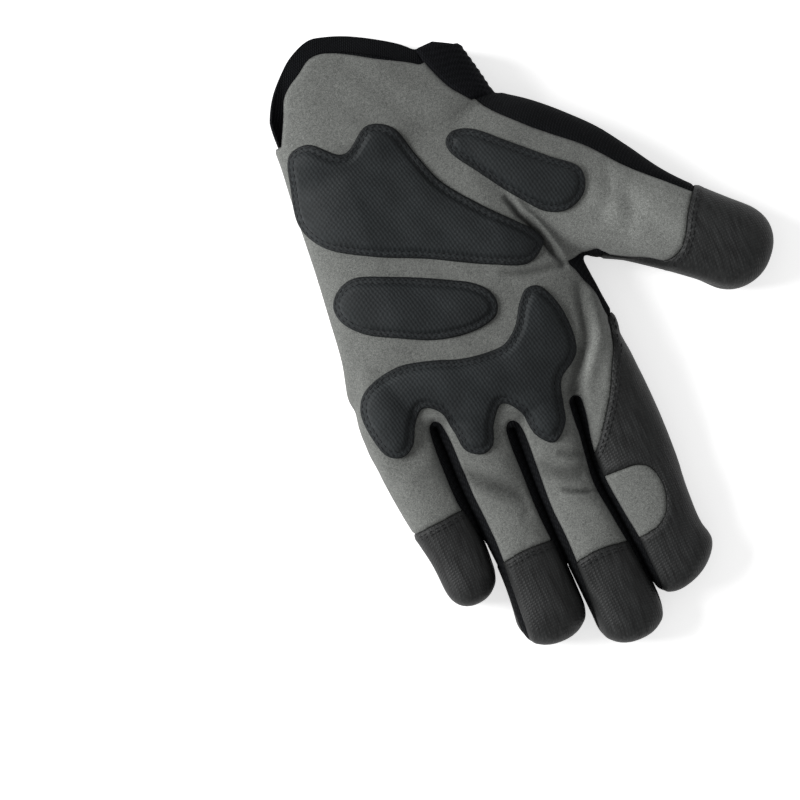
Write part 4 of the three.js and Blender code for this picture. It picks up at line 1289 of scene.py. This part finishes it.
class Cloth:
    """A material for cloth, whose nodes are joined as they are made."""

    def __init__(self, name, roughness, specular, sheen=0.0):
        self.material = bpy.data.materials.new(name)
        self.material.use_nodes = True
        self.tree = self.material.node_tree
        self.shader = self.tree.nodes["Principled BSDF"]
        self.shader.inputs["Roughness"].default_value = roughness
        self.shader.inputs["Specular IOR Level"].default_value = specular
        self.shader.inputs["Sheen Weight"].default_value = sheen
        self.shader.inputs["Sheen Roughness"].default_value = 0.5
        self.place = self.node("ShaderNodeTexCoord").outputs["Object"]

    def node(self, kind, *values, **settings):
        made = self.tree.nodes.new(kind)
        for key, value in settings.items():
            setattr(made, key, value)
        for socket, value in zip(made.inputs, values):
            self.put(socket, value)
        return made

    def put(self, socket, value):
        if isinstance(value, bpy.types.NodeSocket):
            self.tree.links.new(value, socket)
        elif value is not None:
            socket.default_value = value

    def math(self, operation, *values):
        return self.node("ShaderNodeMath", *values, operation=operation).outputs[0]

    def noise(self, size, detail=3.0, stretch=(1, 1, 1)):
        """A value around a half, in spots of about this size in millimetres."""
        scaled = self.node("ShaderNodeVectorMath", self.place, stretch, operation="MULTIPLY").outputs[0]
        made = self.node("ShaderNodeTexNoise", scaled)
        made.inputs["Scale"].default_value = 1 / (size * MM)
        made.inputs["Detail"].default_value = detail
        return made.outputs["Fac"]

    def spread(self, value, low, high, to_low=0.0, to_high=1.0):
        return self.node("ShaderNodeMapRange", value, low, high, to_low, to_high).outputs[0]

    def speckle(self, noise, dark, light):
        """A share of the colour, from dark to light over a noise's middle values."""
        return self.spread(noise, 0.3, 0.7, dark, light)

    def border(self, start, end, dark):
        """A share of the colour that is dark at a panel's border."""
        return self.spread(self.attribute("edge"), start, end, dark, 1.0)

    def waves(self, direction, pitch, wander=0.0, wander_size=4.0):
        """A value from 0 to 1 that rises and falls once in each pitch of millimetres."""
        along = Vector(direction).normalized()
        dot = self.node("ShaderNodeVectorMath", self.place, along, operation="DOT_PRODUCT").outputs["Value"]
        turn = self.math("MULTIPLY", dot, 2 * np.pi / (pitch * MM))
        if wander:
            turn = self.math("MULTIPLY_ADD", self.noise(wander_size, 1.0), wander, turn)
        return self.math("MULTIPLY_ADD", self.math("SINE", turn), 0.5, 0.5)

    def attribute(self, name):
        return self.node("ShaderNodeAttribute", attribute_name=name).outputs["Fac"]

    def paint(self, colour, *shares):
        """The base colour, made darker or lighter by each of the shares."""
        total = shares[0]
        for share in shares[1:]:
            total = self.math("MULTIPLY", total, share)
        scaled = self.node("ShaderNodeVectorMath", colour, operation="SCALE")
        self.put(scaled.inputs["Scale"], total)
        self.put(self.shader.inputs["Base Color"], scaled.outputs[0])

    def bump(self, height, distance, strength=1.0):
        made = self.node("ShaderNodeBump")
        made.inputs["Strength"].default_value = strength
        made.inputs["Distance"].default_value = distance * MM
        self.put(made.inputs["Height"], height)
        self.put(self.shader.inputs["Normal"], made.outputs["Normal"])

    def sum(self, *parts):
        """A weighted sum of values, given as pairs."""
        total = 0.0
        for value, weight in parts:
            total = self.math("MULTIPLY_ADD", value, weight, total)
        return total


def suede(name, colour):
    cloth = Cloth(name, 0.95, 0.12, sheen=0.15)
    nap = cloth.noise(0.38)
    spots = cloth.noise(1.0)
    clouds = cloth.noise(11.0)
    # The tone attribute is painted shade in the creases and on the sides, and painted light in a few spots
    cloth.paint(colour, cloth.speckle(nap, 0.62, 1.38), cloth.speckle(spots, 0.84, 1.16),
                cloth.speckle(clouds, 0.93, 1.07), cloth.attribute("tone"), cloth.border(0.1, 0.7, 0.62))
    cloth.bump(cloth.sum((nap, 0.7), (spots, 0.5)), 0.22, 0.8)
    return cloth.material


def mesh_leather(name, colour):
    cloth = Cloth(name, 0.65, 0.2)
    one = cloth.waves((1, 0.3, 0.4), 1.15, 5.0, 2.5)
    two = cloth.waves((-0.5, 1, 0.4), 1.3, 5.0, 2.5)
    cells = cloth.sum((one, 0.7), (two, 0.3))
    clouds = cloth.noise(12.0, 2.0)
    grain = cloth.noise(0.5)
    cloth.paint(colour, cloth.spread(cells, 0.1, 0.9, 0.64, 1.06), cloth.speckle(clouds, 0.78, 1.2),
                cloth.speckle(grain, 0.8, 1.2), cloth.border(0.4, 1.4, 0.55))
    cloth.bump(cloth.sum((cells, 0.8), (grain, 0.5)), 0.14)
    return cloth.material


def grip_leather(name, colour):
    cloth = Cloth(name, 0.58, 0.3)
    one = cloth.waves((1, 0.1, 0.5), 1.0, 4.0, 2.5)
    two = cloth.waves((-0.1, 1, 0.5), 1.0, 4.0, 2.5)
    cells = cloth.math("MULTIPLY", one, two)
    streaks = cloth.noise(1.2, 4.0, stretch=(1, 0.12, 0.6))
    grain = cloth.noise(0.5)
    # The tone attribute is painted shade on the cap's sides and rims
    cloth.paint(colour, cloth.spread(cells, 0.0, 0.8, 0.74, 1.04), cloth.speckle(streaks, 0.45, 1.45),
                cloth.speckle(grain, 0.82, 1.2), cloth.attribute("tone"), cloth.border(0.2, 1.0, 0.45))
    cloth.bump(cloth.sum((cells, 0.6), (grain, 0.6), (streaks, 0.7)), 0.16)
    return cloth.material


KNIT_PITCH = {"black_knit": 0.9, "black_binding": 0.7, "black_elastic": 0.8}


def knit(name, colour):
    cloth = Cloth(name, 0.9, 0.05)
    one = cloth.waves((1, 0.45, 0.5), KNIT_PITCH[name], 1.0)
    two = cloth.waves((-1, 0.45, 0.5), KNIT_PITCH[name], 1.0)
    loops = cloth.math("MULTIPLY", one, two)
    lint = cloth.noise(0.8, 4.0)
    clouds = cloth.noise(18.0, 2.0)
    cloth.paint(colour, cloth.spread(loops, 0.0, 0.8, 0.7, 1.5),
                cloth.spread(lint, 0.35, 0.75, 0.85, 1.3), cloth.speckle(clouds, 0.85, 1.15))
    cloth.bump(cloth.sum((loops, 1.0), (lint, 0.4)), 0.2)
    return cloth.material


def ribbed(name, colour):
    cloth = Cloth(name, 0.92, 0.15, sheen=0.1)
    ribs = cloth.waves((0, 1, 0), RIB_PITCH)
    threads = cloth.waves((1, 0, 0.4), 0.7, 1.5)
    lint = cloth.noise(0.7, 4.0)
    clouds = cloth.noise(16.0, 2.0)
    cloth.paint(colour, cloth.spread(ribs, 0.0, 0.7, 0.66, 1.06),
                cloth.spread(threads, 0.0, 1.0, 0.94, 1.03), cloth.speckle(lint, 0.9, 1.08),
                cloth.speckle(clouds, 0.94, 1.05), cloth.border(0.1, 0.8, 0.8))
    cloth.bump(cloth.sum((ribs, 0.3), (threads, 0.3), (lint, 0.4)), 0.2)
    return cloth.material


def cord_cover(name, colour):
    cloth = Cloth(name, 0.85, 0.2, sheen=0.1)
    twist = cloth.waves((1, 1, 0.8), 0.6, 1.0)
    lint = cloth.noise(0.6)
    cloth.paint(colour, cloth.spread(twist, 0.0, 1.0, 0.9, 1.04), cloth.speckle(lint, 0.9, 1.06))
    cloth.bump(cloth.sum((twist, 0.6), (lint, 0.4)), 0.12)
    return cloth.material


def webbing(name, colour):
    cloth = Cloth(name, 0.85, 0.15, sheen=0.08)
    loops = cloth.noise(0.5, 4.0)
    rows = cloth.waves((1, 0.1, 0.2), 1.3, 1.5)
    cloth.paint(colour, cloth.speckle(loops, 0.6, 1.6), cloth.spread(rows, 0.0, 1.0, 0.85, 1.15),
                cloth.border(0.2, 2.0, 0.8))
    cloth.bump(cloth.sum((loops, 1.0), (rows, 0.5)), 0.3)
    return cloth.material


def thread(name, colour):
    cloth = Cloth(name, 0.6, 0.3)
    twist = cloth.waves((1, 0.8, 0.6), 0.35)
    lint = cloth.noise(0.5, 2.0)
    cloth.paint(colour, cloth.spread(twist, 0.0, 1.0, 0.75, 1.15), cloth.speckle(lint, 0.85, 1.15))
    cloth.bump(twist, 0.05)
    return cloth.material


COLOURS = {row["slot"]: row["base_color"] for row in frame["record"]["materials"]}
MAKERS = {
    "palm_suede": suede, "pad_mesh": mesh_leather, "cap_grip": grip_leather, "ribbed_knit": ribbed,
    "piping_cream": cord_cover, "strap_black": webbing, "black_knit": knit, "black_binding": knit,
    "black_elastic": knit,
}
THREADS = {
    "thread_dark": (0.007, 0.007, 0.008),
    "thread_pad": (0.012, 0.013, 0.015),
    "thread_light": (0.42, 0.38, 0.34),
}
MATERIALS = {slot: make(slot, COLOURS[slot]) for slot, make in MAKERS.items()}
MATERIALS.update({name: thread(name, colour) for name, colour in THREADS.items()})

make_glove()

# The floor and the light: a bright even studio, a little stronger from the picture's left
bpy.context.scene.view_settings.view_transform = "Standard"
bpy.context.scene.view_settings.look = "None"

FLOOR_SIZE = 4.0
FLOOR_LEVEL = -0.0003
FLOOR_CORNERS = [(x * FLOOR_SIZE / 2, y * FLOOR_SIZE / 2, FLOOR_LEVEL)
                 for x, y in ((-1, -1), (1, -1), (1, 1), (-1, 1))]
floor_mesh = bpy.data.meshes.new("floor")
floor_mesh.from_pydata(FLOOR_CORNERS, [], [(0, 1, 2, 3)])
floor = bpy.data.objects.new("floor", floor_mesh)
bpy.context.scene.collection.objects.link(floor)
paper = Cloth("floor", 0.9, 0.1)
paper.paint((0.9, 0.9, 0.9), paper.speckle(paper.noise(30.0, 2.0), 0.99, 1.0))
paper.shader.inputs["Emission Color"].default_value = (1, 1, 1, 1)
paper.shader.inputs["Emission Strength"].default_value = 0.6
floor.data.materials.append(paper.material)

world = bpy.data.worlds.new("studio")
bpy.context.scene.world = world
world.use_nodes = True
world.node_tree.nodes["Background"].inputs["Color"].default_value = (1, 1, 1, 1)
world.node_tree.nodes["Background"].inputs["Strength"].default_value = 0.38


def area_light(name, place, size, power):
    data = bpy.data.lights.new(name, "AREA")
    data.size = size
    data.energy = power
    lamp = bpy.data.objects.new(name, data)
    lamp.location = place
    lamp.rotation_euler = (-Vector(place)).to_track_quat("-Z", "Y").to_euler()
    bpy.context.scene.collection.objects.link(lamp)


area_light("key", (2.4, -1.3, 1.5), 1.4, 110)

# The photograph's view is straight down, turned about the vertical
PICTURE_MIDDLE = (0.0663, 0.0107, 0.010)
PICTURE_WIDTH = 0.296
CAMERA_HEIGHT = 1.5
PICTURE_RIGHT = Vector((-0.925, 0.38, 0)).normalized()
UP = Vector((0, 0, 1))
camera_data = bpy.data.cameras.new("camera")
camera_data.sensor_width = 36
camera_data.lens = 36 * CAMERA_HEIGHT / PICTURE_WIDTH
camera = bpy.data.objects.new("camera", camera_data)
turn = Matrix((PICTURE_RIGHT, UP.cross(PICTURE_RIGHT), UP)).transposed()
camera.matrix_world = Matrix.Translation(Vector(PICTURE_MIDDLE) + UP * CAMERA_HEIGHT) @ turn.to_4x4()
bpy.context.scene.collection.objects.link(camera)
bpy.context.scene.camera = camera
